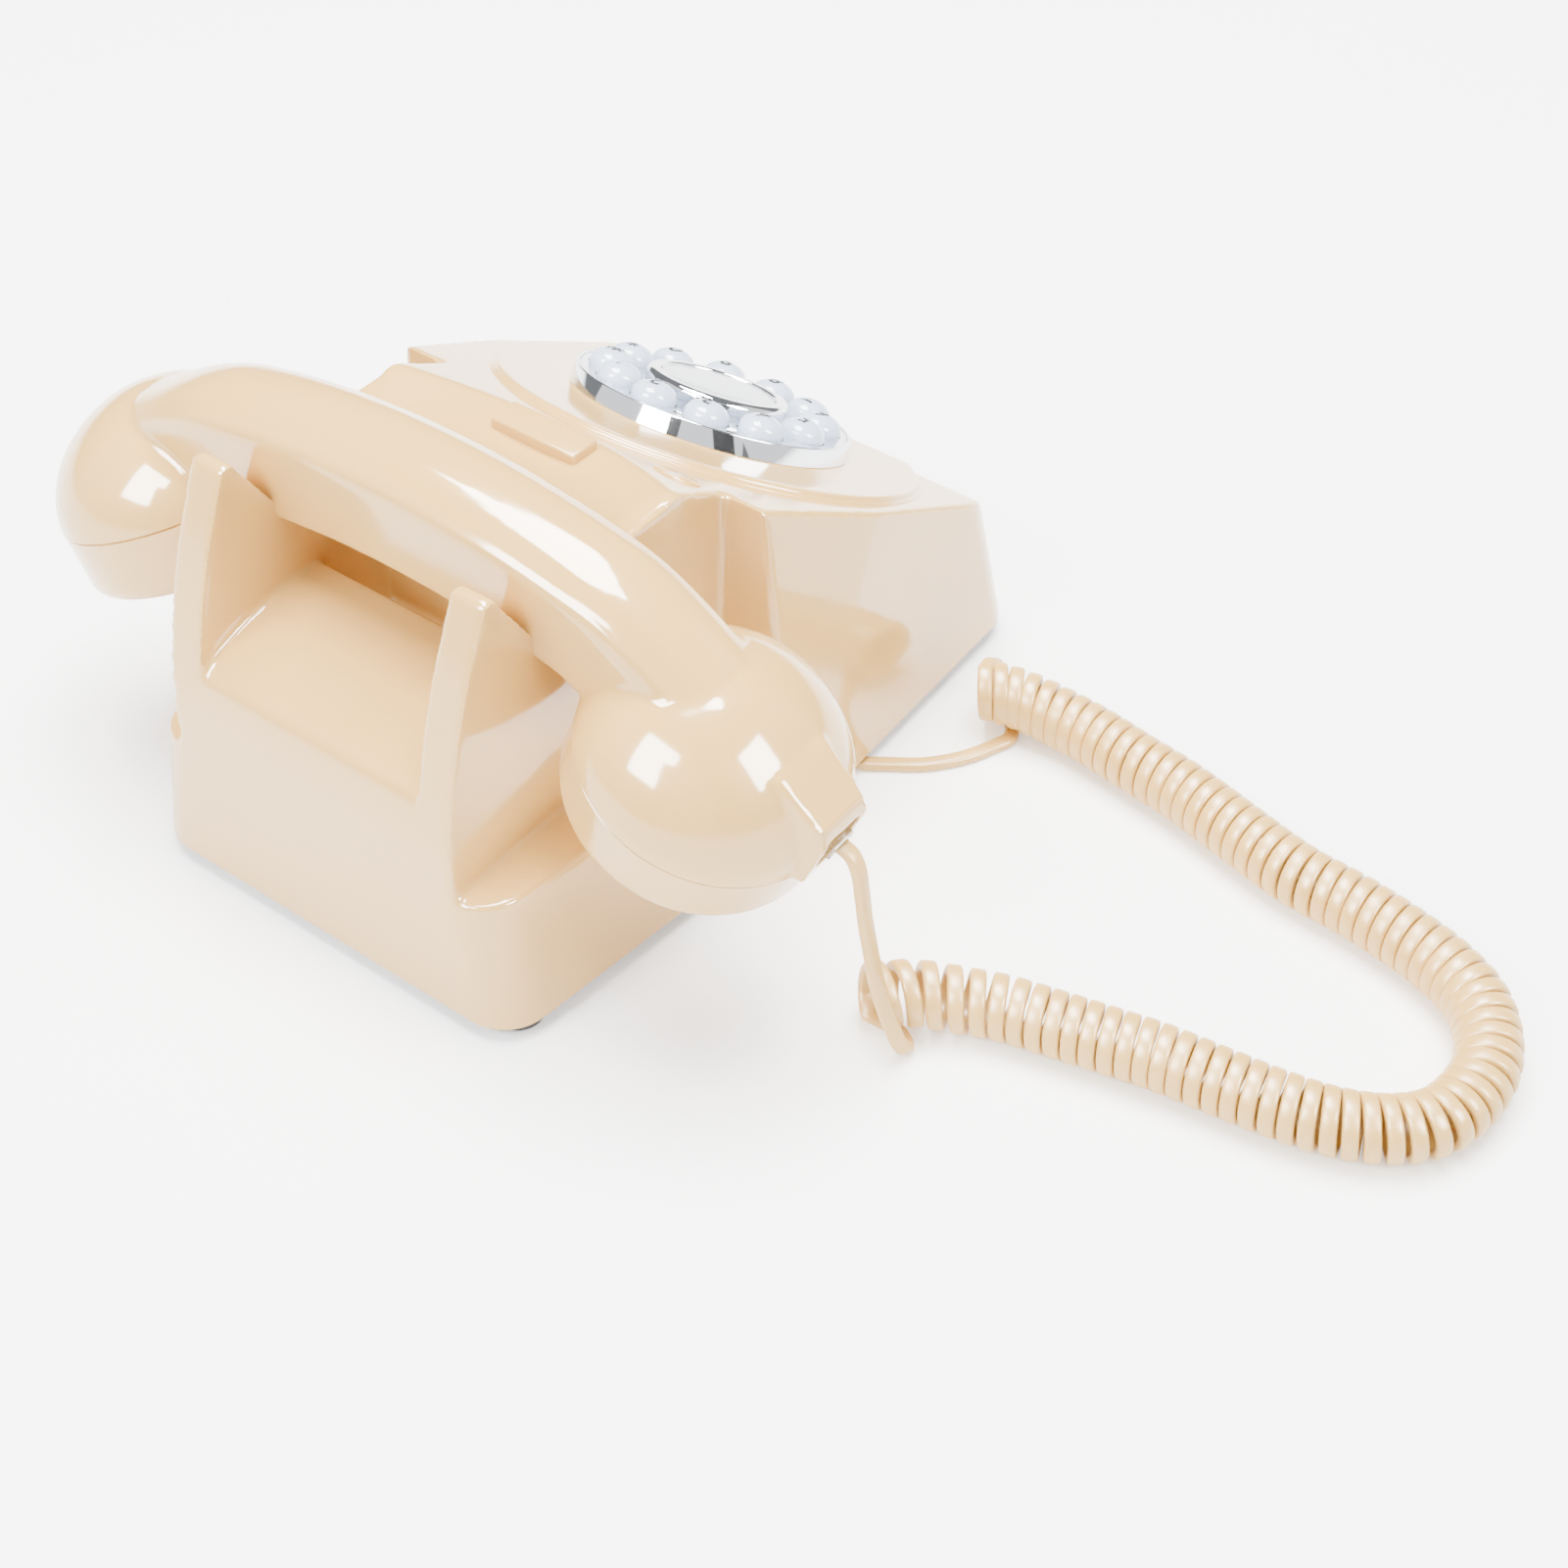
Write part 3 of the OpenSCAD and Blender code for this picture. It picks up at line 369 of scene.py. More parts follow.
class Finishes:
    """Every finish of the telephone, built once."""

    def __init__(self) -> None:
        """Builds the materials and keeps them by slot name."""
        ivory = dict(colour="#CCA35E", second="#C89D58")
        table = {
            # ABS from a polished mould: an even warm ivory under a clear soft shine
            "case_plastic": MouldedPlastic("ivory_abs_case", roughness=0.13, coat=0.35, **ivory),
            "handset_plastic": MouldedPlastic(
                "ivory_abs_handset", roughness=0.11, coat=0.35, **ivory
            ),
            # ABS from an etched mould: a dull dark skin that hides scratches
            "floor_plastic": MouldedPlastic(
                "dark_textured_abs", "#2A2724", "#302C29", 0.55, 20, 0.8, 0.03
            ),
            # Moulded rubber: matt black with a fine grain
            "foot_rubber": MouldedPlastic("black_rubber", "#171717", "#1D1C1B", 0.8, 9, 0.7, 0.02),
            # Zinc-plated steel: pale grey with a broken, cloudy shine
            "screw_steel": PlainMetal("zinc_plated_steel", "#B9BBBD", 0.32, 3, 0.004),
            # Chrome on polished metal: a mirror that shows the room light and dark
            "dial_chrome": PlainMetal("chrome_plating", "#E9EBEE", 0.045, 14, 0.0006),
            # Printed card: matt white with faint rules
            "label_card": PrintedCard("ruled_card", "#F4F5F5", "#C9CDD0"),
            # Polished polycarbonate: nearly invisible but for its edges
            "clear_lens": ClearMoulding("clear_lens", "#FAFCFD"),
            # Moulded silicone: soft, pale and dull
            "mat_rubber": MouldedPlastic("silicone_mat", "#D9D9D6", "#D2D2CF", 0.6, 8, 0.9, 0.01),
            # Coated glass laminate: even green with a weak shine
            "circuit_board": MouldedPlastic(
                "board_laminate", "#2C6B42", "#245C38", 0.4, 5, 0.8, 0.02
            ),
            # Moulded ABS in black, half matt
            "black_plastic": MouldedPlastic("black_abs", "#1B1B1D", "#202022", 0.4, 9, 0.8, 0.012),
            # Rolled steel, left raw: grey and dull
            "ballast_steel": PlainMetal("raw_steel", "#83858A", 0.5, 4, 0.01),
            # Enamelled copper wire: warm metal broken up by the turns
            "copper_coil": PlainMetal("enamelled_copper", "#B5713E", 0.35, 0.4, 0.03),
            # Spun brass: yellow metal with a soft shine
            "gong_brass": PlainMetal("spun_brass", "#D2B063", 0.25, 2, 0.004),
            # Moulded ABS in white, with a faint shine
            "white_plastic": MouldedPlastic("white_abs", "#ECECE8", "#E6E6E1", 0.25),
            # Pressed aluminium: light metal, a little dull
            "capsule_metal": PlainMetal("pressed_aluminium", "#C3C5C8", 0.35, 3, 0.006),
            # Polished ABS in a cool white: small sharp highlights on each dome
            "key_plastic": MouldedPlastic(
                "white_key_abs", "#B7C1D3", "#B1BBCE", 0.08, 9, 1.6, 0.002
            ),
            # Clear polycarbonate with a little mould haze
            "clear_plug": ClearMoulding("clear_plug", "#EEF2F3", 0.08),
            # Soft vinyl in the case's ivory: a broad, dull highlight along each turn
            "cord_jacket": MouldedPlastic(
                "soft_vinyl_jacket", "#C9A158", "#C49B52", 0.33, 18, 0.9, 0.01
            ),
        }
        self.by_slot: dict[str, bpy.types.Material] = {
            slot: finish.build() for slot, finish in table.items()
        }
        # Pad-printed ink: flat black without a shine
        ink = MouldedPlastic("printed_ink", "#0D0E10", "#121316", 0.95, 6, 0.5, 0.0)
        self.digits = ink.build()

    def dress(
        self, obj: bpy.types.Object, body: str, slot: str, place: Optional[Matrix] = None
    ) -> bpy.types.Object:
        """Finishes a piece with its slot's own material.

        Args:
            obj: The piece, in millimetres.
            body: The CAD body it moves with.
            slot: The record's slot for its finish.
            place: Where it goes, in millimetres.

        Returns:
            The same object.
        """
        return finish_piece(obj, body, self.by_slot[slot], place)

    def dress_frame(self, frame: dict) -> None:
        """Gives every CAD node the finish of its slot.
        """
        slots = {part["node"]: part["material_slot"] for part in frame["record"]["subparts"]}
        for name, node in frame["nodes"].items():
            node.data.materials.clear()
            node.data.materials.append(self.by_slot[slots[name]])


# ---- Mesh helpers ----


def depth_y(depth: float) -> float:
    """Y of a depth measured forward from the rear edge."""
    return HALF_LENGTH - depth


def height_z(height: float) -> float:
    """Z of a height above the case's bottom edge."""
    return FOOT_HEIGHT + height


def prism(outline: Sequence[tuple[float, float]], half_width: float) -> bmesh.types.BMesh:
    """Extrudes a side view, given as depths and heights, across the telephone.

    Args:
        outline: Depth and height of each corner.
        half_width: Half the length along X.

    Returns:
        The closed solid.
    """
    bm = bmesh.new()
    corners = [bm.verts.new((-half_width, depth_y(d), height_z(h))) for d, h in outline]
    face = bm.faces.new(corners)
    grown = bmesh.ops.extrude_face_region(bm, geom=[face])["geom"]
    moved = [v for v in grown if isinstance(v, bmesh.types.BMVert)]
    bmesh.ops.translate(bm, vec=(2 * half_width, 0, 0), verts=moved)
    bmesh.ops.recalc_face_normals(bm, faces=bm.faces)
    return bm


def lathe(profile: Sequence[tuple[float, float]], steps: int = 96) -> bmesh.types.BMesh:
    """Spins a profile of radii and heights about Z into a closed skin.

    Args:
        profile: Radius and height of each point, in order.
        steps: Steps round the circle.

    Returns:
        The spun mesh.
    """
    bm = bmesh.new()
    points = [bm.verts.new((r, 0, z)) for r, z in profile]
    edges = [bm.edges.new(pair) for pair in zip(points, points[1:])]
    bmesh.ops.spin(
        bm,
        geom=points + edges,
        cent=(0, 0, 0),
        axis=(0, 0, 1),
        angle=2 * math.pi,
        steps=steps,
        use_merge=True,
    )
    bmesh.ops.remove_doubles(bm, verts=bm.verts, dist=1e-4)
    bmesh.ops.recalc_face_normals(bm, faces=bm.faces)
    return bm


def rounded_box(
    size: tuple[float, float, float], radius: float, segments: int = 3
) -> bmesh.types.BMesh:
    """Makes a box round its own middle with all edges rounded.

    Args:
        size: Length along X, Y and Z.
        radius: The edges' radius.
        segments: Steps round an edge.

    Returns:
        The mesh.
    """
    bm = bmesh.new()
    bmesh.ops.create_cube(bm, size=1)
    bmesh.ops.scale(bm, vec=size, verts=bm.verts)
    bmesh.ops.bevel(
        bm,
        geom=bm.edges[:],
        offset=radius,
        offset_type="OFFSET",
        affect="EDGES",
        segments=segments,
        profile=0.5,
        material=-1,
    )
    return bm


def arc(
    centre: tuple[float, float], radius: float, start: float, end: float, steps: int = 6
) -> list[tuple[float, float]]:
    """Lists points on an arc of a profile, from one angle in degrees to another.

    Args:
        centre: The arc's middle, as a radius and a height.
        radius: The arc's radius.
        start: Angle of its first point.
        end: Angle of its last point.
        steps: Steps from the first point to the last.

    Returns:
        The points.
    """
    angles = [math.radians(start + (end - start) * i / steps) for i in range(steps + 1)]
    return [(centre[0] + radius * math.cos(a), centre[1] + radius * math.sin(a)) for a in angles]


def hull_of(points: bmesh.types.BMesh) -> bmesh.types.BMesh:
    """Wraps the vertices of a mesh in their convex hull, and frees the mesh.

    Args:
        points: The mesh, of which only the vertices count.

    Returns:
        The hull.
    """
    bm = bmesh.new()
    for vertex in points.verts:
        bm.verts.new(vertex.co)
    points.free()
    bmesh.ops.remove_doubles(bm, verts=bm.verts, dist=1e-4)
    hull = bmesh.ops.convex_hull(bm, input=bm.verts)
    loose = {*hull["geom_interior"], *hull["geom_unused"]}
    inside = [v for v in loose if isinstance(v, bmesh.types.BMVert)]
    bmesh.ops.delete(bm, geom=inside, context="VERTS")
    bmesh.ops.recalc_face_normals(bm, faces=bm.faces)
    return bm


def to_object(bm: bmesh.types.BMesh, name: str) -> bpy.types.Object:
    """Writes a mesh into a new object and frees it.

    Args:
        bm: The mesh.
        name: Name of the object and of its mesh.

    Returns:
        The new object.
    """
    mesh = bpy.data.meshes.new(name)
    bm.to_mesh(mesh)
    bm.free()
    obj = bpy.data.objects.new(name, mesh)
    bpy.context.scene.collection.objects.link(obj)
    return obj


def apply_modifiers(obj: bpy.types.Object) -> None:
    """Replaces an object's mesh with what its modifiers make of it.

    Args:
        obj: The object.
    """
    evaluated = obj.evaluated_get(bpy.context.evaluated_depsgraph_get())
    mesh = bpy.data.meshes.new_from_object(evaluated)
    obj.modifiers.clear()
    old, obj.data = obj.data, mesh
    bpy.data.meshes.remove(old)


def combine(obj: bpy.types.Object, tool: bpy.types.Object, how: str) -> None:
    """Joins, cuts or intersects an object with a tool, and removes the tool.

    Args:
        obj: The object that changes.
        tool: The other object.
        how: UNION, DIFFERENCE or INTERSECT.
    """
    modifier = obj.modifiers.new("combine", "BOOLEAN")
    modifier.operation = how
    modifier.object = tool
    modifier.solver = "EXACT"
    bpy.context.view_layer.update()
    apply_modifiers(obj)
    bpy.data.objects.remove(tool)


def gather(objects: Sequence[bpy.types.Object], name: str) -> bpy.types.Object:
    """Puts several solids into one mesh, overlaps and all, and removes them.

    Args:
        objects: The solids.
        name: Name of the new object.

    Returns:
        The new object.
    """
    bm = bmesh.new()
    for obj in objects:
        bm.from_mesh(obj.data)
        bpy.data.objects.remove(obj)
    return to_object(bm, name)


def soften(
    obj: bpy.types.Object,
    voxel: float,
    passes: int,
    weight: Optional[Callable[[Vector], float]] = None,
) -> None:
    """Remeshes a solid evenly and rounds its edges, as a mould maker's radii do.

    Args:
        obj: The solid.
        voxel: Size of the even mesh.
        passes: How often the surface is smoothed.
        weight: Share of the smoothing at a place, or none for all of it everywhere.
    """
    remesh = obj.modifiers.new("even", "REMESH")
    remesh.mode = "VOXEL"
    remesh.voxel_size = voxel
    bpy.context.view_layer.update()
    apply_modifiers(obj)
    smooth = obj.modifiers.new("round", "SMOOTH")
    smooth.factor = 0.5
    smooth.iterations = passes
    if weight is not None:
        group = obj.vertex_groups.new(name="round")
        for vertex in obj.data.vertices:
            group.add([vertex.index], weight(vertex.co), "REPLACE")
        smooth.vertex_group = "round"
    bpy.context.view_layer.update()
    apply_modifiers(obj)
    obj.vertex_groups.clear()


def cut_below(
    obj: bpy.types.Object,
    place: Vector,
    up: Vector,
    reach: Optional[Callable[[Vector], bool]] = None,
) -> None:
    """Cuts away what lies under a plane and closes the cut.

    Args:
        obj: The object.
        place: A point on the plane.
        up: The side that stays.
        reach: Test of a face's middle that limits the cut to part of the mesh.
    """
    bm = bmesh.new()
    bm.from_mesh(obj.data)
    faces = [f for f in bm.faces if reach is None or reach(f.calc_center_median())]
    edges = {e for f in faces for e in f.edges}
    verts = {v for f in faces for v in f.verts}
    cut = bmesh.ops.bisect_plane(
        bm,
        geom=faces + list(edges) + list(verts),
        plane_co=place,
        plane_no=up,
        clear_inner=True,
        dist=1e-4,
    )["geom_cut"]
    rim = [e for e in cut if isinstance(e, bmesh.types.BMEdge) and e.is_boundary]
    bmesh.ops.holes_fill(bm, edges=rim, sides=0)
    bm.to_mesh(obj.data)
    bm.free()


def finish_piece(
    obj: bpy.types.Object,
    body: Optional[str],
    material: bpy.types.Material,
    place: Optional[Matrix] = None,
    sharp_deg: float = 35.0,
) -> bpy.types.Object:
    """Turns a piece in millimetres into a finished one: placed, in metres, smooth and dressed.

    Args:
        obj: The piece.
        body: The CAD body it moves with, or none for a piece that rides on no body.
        material: Its material.
        place: Where it goes, in millimetres.
        sharp_deg: Edges sharper than this stay crisp.

    Returns:
        The same object.
    """
    obj.data.transform(place or Matrix.Identity(4))
    obj.data.transform(Matrix.Scale(MM, 4))
    obj.data.shade_smooth()
    obj.data.set_sharp_from_angle(angle=math.radians(sharp_deg))
    obj.data.materials.clear()
    obj.data.materials.append(material)
    bpy.context.view_layer.update()
    if body is not None:
        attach(obj, body)
    LOG.info("%s: %d faces", obj.name, len(obj.data.polygons))
    return obj


# ---- Case ----


@dataclass
class CaseMould:
    """The moulded case: tapered box, sloping face, neck with its prongs, saddle and finger well."""

    finishes: Finishes
    length: float = 196.0
    lip_height: float = 38.0
    lip_lean: float = 8.5
    face_tilt: float = 29.0
    ledge_height: float = 35.0
    block_depth: float = 95.0
    block_lean: float = 3.0
    neck_width: float = 85.0
    saddle_width: float = 66.0
    saddle_height: float = 55.0
    saddle_rise: float = 12.0
    saddle_end: float = 43.0
    crest_height: float = 96.0
    trough_height: float = 90.5
    trough_radius: float = 145.0
    well_front: float = 66.0
    well_height: float = 42.0
    notch_height: float = 79.0
    notch_slope: float = 57.0
    prong_height: float = 106.0
    handset_depth: float = 46.0
    notch_radius: float = 13.9
    notch_axis: float = 96.07
    corner_radius: float = 12.0
    dial_up: float = 48.0
    plinth_radius: float = 55.5
    plinth_height: float = 1.5
    foot_radius: float = 6.5
    foot_height: float = 3.3
    foot_places: tuple[tuple[float, float], ...] = ((49.5, 86.5), (48.0, -80.0))
    plinth_cut: float = 7.0
    line_depth: float = 60.0
    line_window_size: tuple[float, float, float] = (24.0, 11.3, 26.0)
    line_top: float = 11.15
    bar_size: tuple[float, float, float] = (25.0, 8.5, 4.2)
    bar_radius: float = 0.55
    bar_depth: float = 86.5
    bar_sink: float = 1.2
    lens_half: tuple[float, float] = (6.5, 3.0)
    lens_up: float = 106.0
    lens_x: float = -32.0
    below: float = 9.0
    above: float = 112.0
    voxel: float = 0.85
    passes: int = 12

    def face_height(self, depth: float) -> float:
        """Height of the sloping face at a depth."""
        run = self.length - self.lip_lean - depth
        return self.lip_height + run * math.tan(math.radians(self.face_tilt))

    def rear_depth(self, height: float) -> float:
        """Depth of the rear face at a height."""
        return 0.05 * height + 0.0036 * max(0.0, height - 40) ** 2

    def notch_depth(self, height: float, side: int) -> float:
        """Depth of one flank of the handset notch at a height.

        Args:
            height: Height above the bottom edge.
            side: -1 for the rear flank and 1 for the front one.

        Returns:
            Depth from the rear edge.
        """
        slope = math.radians(self.notch_slope)
        reach = self.notch_radius / math.sin(slope) + (height - self.notch_axis) / math.tan(slope)
        return self.handset_depth + side * reach

    def tapered_body(self) -> bpy.types.Object:
        """Hulls the plan outline at the bottom and over the top.

        Returns:
            The solid.
        """
        bm = bmesh.new()
        for height in (-self.below, self.above):
            lean = self.lip_lean * height / self.lip_height
            # Half width, taper in percent of the height, and depth of each pair of corners
            stations = (
                (58.0, 14.0, self.corner_radius + 0.05 * height),
                (66.0, 14.0, 92.0),
                (63.0, 6.0, self.length - self.corner_radius - lean),
            )
            for half, taper, depth in stations:
                for side in Side:
                    x = side * (half - taper * height / 100 - self.corner_radius)
                    bmesh.ops.create_circle(
                        bm,
                        segments=48,
                        radius=self.corner_radius,
                        matrix=Matrix.Translation((x, depth_y(depth), height_z(height))),
                    )
        return to_object(hull_of(bm), "tapered_body")

    def block(self) -> bpy.types.Object:
        """The ledges and the front block, at full width.

        Returns:
            The solid.
        """
        top = self.block_depth + self.block_lean
        lip = self.length - self.lip_lean
        outline = [
            (-6, -self.below),
            (-6, self.ledge_height),
            (self.block_depth, self.ledge_height),
            (top, self.face_height(top)),
            (lip - 6, self.face_height(lip - 6)),
            (lip - 2.6, self.lip_height - 0.2),
            (lip - 0.5, self.lip_height - 2.8),
            (lip + 0.8, self.lip_height - 7),
            (self.length + 2, -self.below),
        ]
        return to_object(prism(outline, 80), "block")

    def neck(self) -> bpy.types.Object:
        """The neck with the ridges, the handset notch and the prongs.

        Returns:
            The solid.
        """
        rise = self.crest_height - self.lip_height
        crest = self.length - self.lip_lean - rise / math.tan(math.radians(self.face_tilt))
        tip = self.prong_height - 2.5
        middle = (self.rear_depth(tip) + self.notch_depth(tip, -1)) / 2
        half = (self.notch_depth(tip, -1) - self.rear_depth(tip)) / 2
        outline = [
            (-6, -self.below),
            (136, -self.below),
            (136, self.face_height(136)),
            (crest, self.crest_height),
            (self.notch_depth(self.crest_height - 1, 1), self.crest_height - 1),
            (self.notch_depth(self.notch_height, 1), self.notch_height),
            (self.notch_depth(self.notch_height, -1), self.notch_height),
            (self.notch_depth(tip, -1), tip),
        ]
        outline += [(d, h) for d, h in arc((middle, tip), half, 20, 160, 5)]
        heights = [tip - 5.0 * i for i in range(1, 14)]
        outline += [(self.rear_depth(h), h) for h in heights]
        outline += [(-6, 32.0)]
        return to_object(prism(outline, self.neck_width / 2), "neck")

    def saddle_and_well(self) -> bpy.types.Object:
        """What is cut out between the prongs.

        Returns:
            The solid to cut with.
        """
        rear = self.rear_depth(self.saddle_height)
        span = self.saddle_end - rear
        low, high = self.saddle_height, 140.0
        outline = [(-30.0, high), (-30.0, low - 8), (rear - 2.2, low - 8), (rear - 1.2, low - 4)]
        for angle in range(0, 91, 9):
            a = math.radians(angle)
            outline.append((rear + span * (1 - math.cos(a)), low + self.saddle_rise * math.sin(a)))
        outline += [
            (self.saddle_end + 2, low + self.saddle_rise - 3),
            (self.saddle_end + 4, self.well_height),
            (self.well_front - 2, self.well_height),
            (self.well_front, self.trough_height),
            (self.well_front, high),
        ]
        return to_object(prism(outline, self.saddle_width / 2), "saddle")

    def trough(self) -> bpy.types.Object:
        """The long shallow cylinder between the ridges.

        Returns:
            The solid to cut with.
        """
        length, start = 62.0, self.well_front - 8
        axis = height_z(self.trough_height + self.trough_radius)
        middle = Matrix.Translation((0, depth_y(start + length / 2), axis))
        bm = bmesh.new()
        bmesh.ops.create_cone(
            bm,
            cap_ends=True,
            segments=256,
            radius1=self.trough_radius,
            radius2=self.trough_radius,
            depth=length,
            matrix=middle @ Matrix.Rotation(math.pi / 2, 4, "X"),
        )
        return to_object(bm, "trough")

    def line_window(self) -> bpy.types.Object:
        """The window in the right wall for the line's jack.

        Returns:
            The solid to cut with.
        """
        bm = bmesh.new()
        bmesh.ops.create_cube(bm, size=1)
        bmesh.ops.scale(bm, vec=self.line_window_size, verts=bm.verts)
        middle = height_z(self.line_top - self.line_window_size[2] / 2)
        bmesh.ops.translate(bm, vec=(66, depth_y(self.line_depth), middle), verts=bm.verts)
        return to_object(bm, "line_window")

    def roundness(self, co: Vector) -> float:
        """Share of the smoothing at a place: little round the jack's window, less on the cradle.

        Args:
            co: The place, in millimetres.

        Returns:
            A share from 0 to 1.
        """
        if co.x > 50 and abs(co.y - depth_y(self.line_depth)) < 9 and co.z < 21:
            return 0.15
        on_cradle = co.y > depth_y(70) and co.z > height_z(40)
        return 0.4 if on_cradle else 1.0

    def mould(self) -> bpy.types.Object:
        """Makes the case as one soft-edged skin.

        Returns:
            The piece.
        """
        solid = self.block()
        neck = self.neck()
        combine(neck, self.saddle_and_well(), "DIFFERENCE")
        combine(neck, self.trough(), "DIFFERENCE")
        combine(solid, neck, "UNION")
        combine(solid, self.tapered_body(), "INTERSECT")
        combine(solid, self.line_window(), "DIFFERENCE")
        soften(solid, self.voxel, self.passes, self.roundness)
        cut_below(solid, Vector((0, 0, FOOT_HEIGHT)), UP)
        solid.name = "case_moulding"
        self.finishes.dress(solid, Body.BASE.value, "case_plastic")
        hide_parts("case_shell")
        return solid

    def face_place(self, up: float, x: float = 0.0) -> Matrix:
        """Frame on the sloping face, with Z square to it and Y up the slope.

        Args:
            up: Distance up the slope from the lip.
            x: Distance from the middle plane.

        Returns:
            The frame.
        """
        tilt = math.radians(self.face_tilt)
        depth = self.length - self.lip_lean - up * math.cos(tilt)
        height = self.lip_height + up * math.sin(tilt)
        spot = Matrix.Translation((x, depth_y(depth), height_z(height)))
        return spot @ Matrix.Rotation(tilt, 4, "X")

    def plinth(self) -> bpy.types.Object:
        """The raised round step under the dial, with its soft double line.

        Returns:
            The piece.
        """
        r, t = self.plinth_radius, self.plinth_height
        profile = [(0.0, -2.0), (r + 0.9, -2.0), (r + 0.9, -0.1)]
        profile += arc((r + 0.2, -0.1), 0.5, 10, 90, 3)
        profile += arc((r + 0.1, 1.1), 0.75, -90, -150, 3)
        profile += arc((r - 1.6, t - 1.0), 1.0, 10, 90, 5)
        profile += [(r - 3.4, t), (r - 9, t - 0.02), (34.0, t), (0.0, t)]
        plinth = to_object(lathe(profile, 160), "dial_plinth")
        bm = bmesh.new()
        bm.from_mesh(plinth.data)
        cut = bmesh.ops.bisect_plane(
            bm,
            geom=bm.verts[:] + bm.edges[:] + bm.faces[:],
            plane_co=(0, self.plinth_cut - self.dial_up, 0),
            plane_no=(0, 1, 0),
            clear_inner=True,
        )["geom_cut"]
        rim = [e for e in cut if isinstance(e, bmesh.types.BMEdge)]
        bmesh.ops.holes_fill(bm, edges=rim, sides=0)
        bm.to_mesh(plinth.data)
        bm.free()
        place = self.face_place(self.dial_up)
        self.finishes.dress(plinth, Body.BASE.value, "case_plastic", place)
        return plinth

    def blanking_bar(self) -> bpy.types.Object:
        """The slim bar on the trough.

        Returns:
            The piece.
        """
        bar = to_object(rounded_box(self.bar_size, self.bar_radius), "blanking_bar_moulding")
        middle = height_z(self.trough_height - self.bar_sink + self.bar_size[2] / 2)
        place = Matrix.Translation((0, depth_y(self.bar_depth), middle))
        self.finishes.dress(bar, Body.BASE.value, "case_plastic", place)
        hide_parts("blanking_bar")
        return bar

    def feet(self) -> bpy.types.Object:
        """The four rubber feet, tucked into the corners of the underside.

        Returns:
            The piece.
        """
        r, h = self.foot_radius, self.foot_height
        profile = [(0.0, 0.0), (r - 1.4, 0.0), (r - 0.4, 0.4), (r, 1.2), (r, h), (0.0, h)]
        feet = []
        for side in Side:
            for x, y in self.foot_places:
                bm = lathe(profile, 40)
                bmesh.ops.translate(bm, vec=(side * x, y, 0), verts=bm.verts)
                feet.append(to_object(bm, "foot"))
        piece = gather(feet, "rubber_foot_set")
        self.finishes.dress(piece, Body.BASE.value, "foot_rubber")
        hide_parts("rubber_feet")
        return piece

    def oval_lens(self) -> bpy.types.Object:
        """The oval indicator lens, a low oval boss that stands just proud of the face.

        Returns:
            The piece.
        """
        bm = lathe([(0.0, -1.2), (1.0, -1.2), (1.0, 0.3), (0.94, 0.45), (0.0, 0.55)], 48)
        bmesh.ops.scale(bm, vec=(*self.lens_half, 1.0), verts=bm.verts)
        lens = to_object(bm, "oval_lens")
        place = self.face_place(self.lens_up, self.lens_x)
        self.finishes.dress(lens, Body.BASE.value, "case_plastic", place)
        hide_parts("indicator_lens")
        return lens

    def build(self) -> None:
        """Builds every piece of the case."""
        self.mould()
        self.plinth()
        self.blanking_bar()
        self.oval_lens()
        self.feet()


# ---- Dial ----


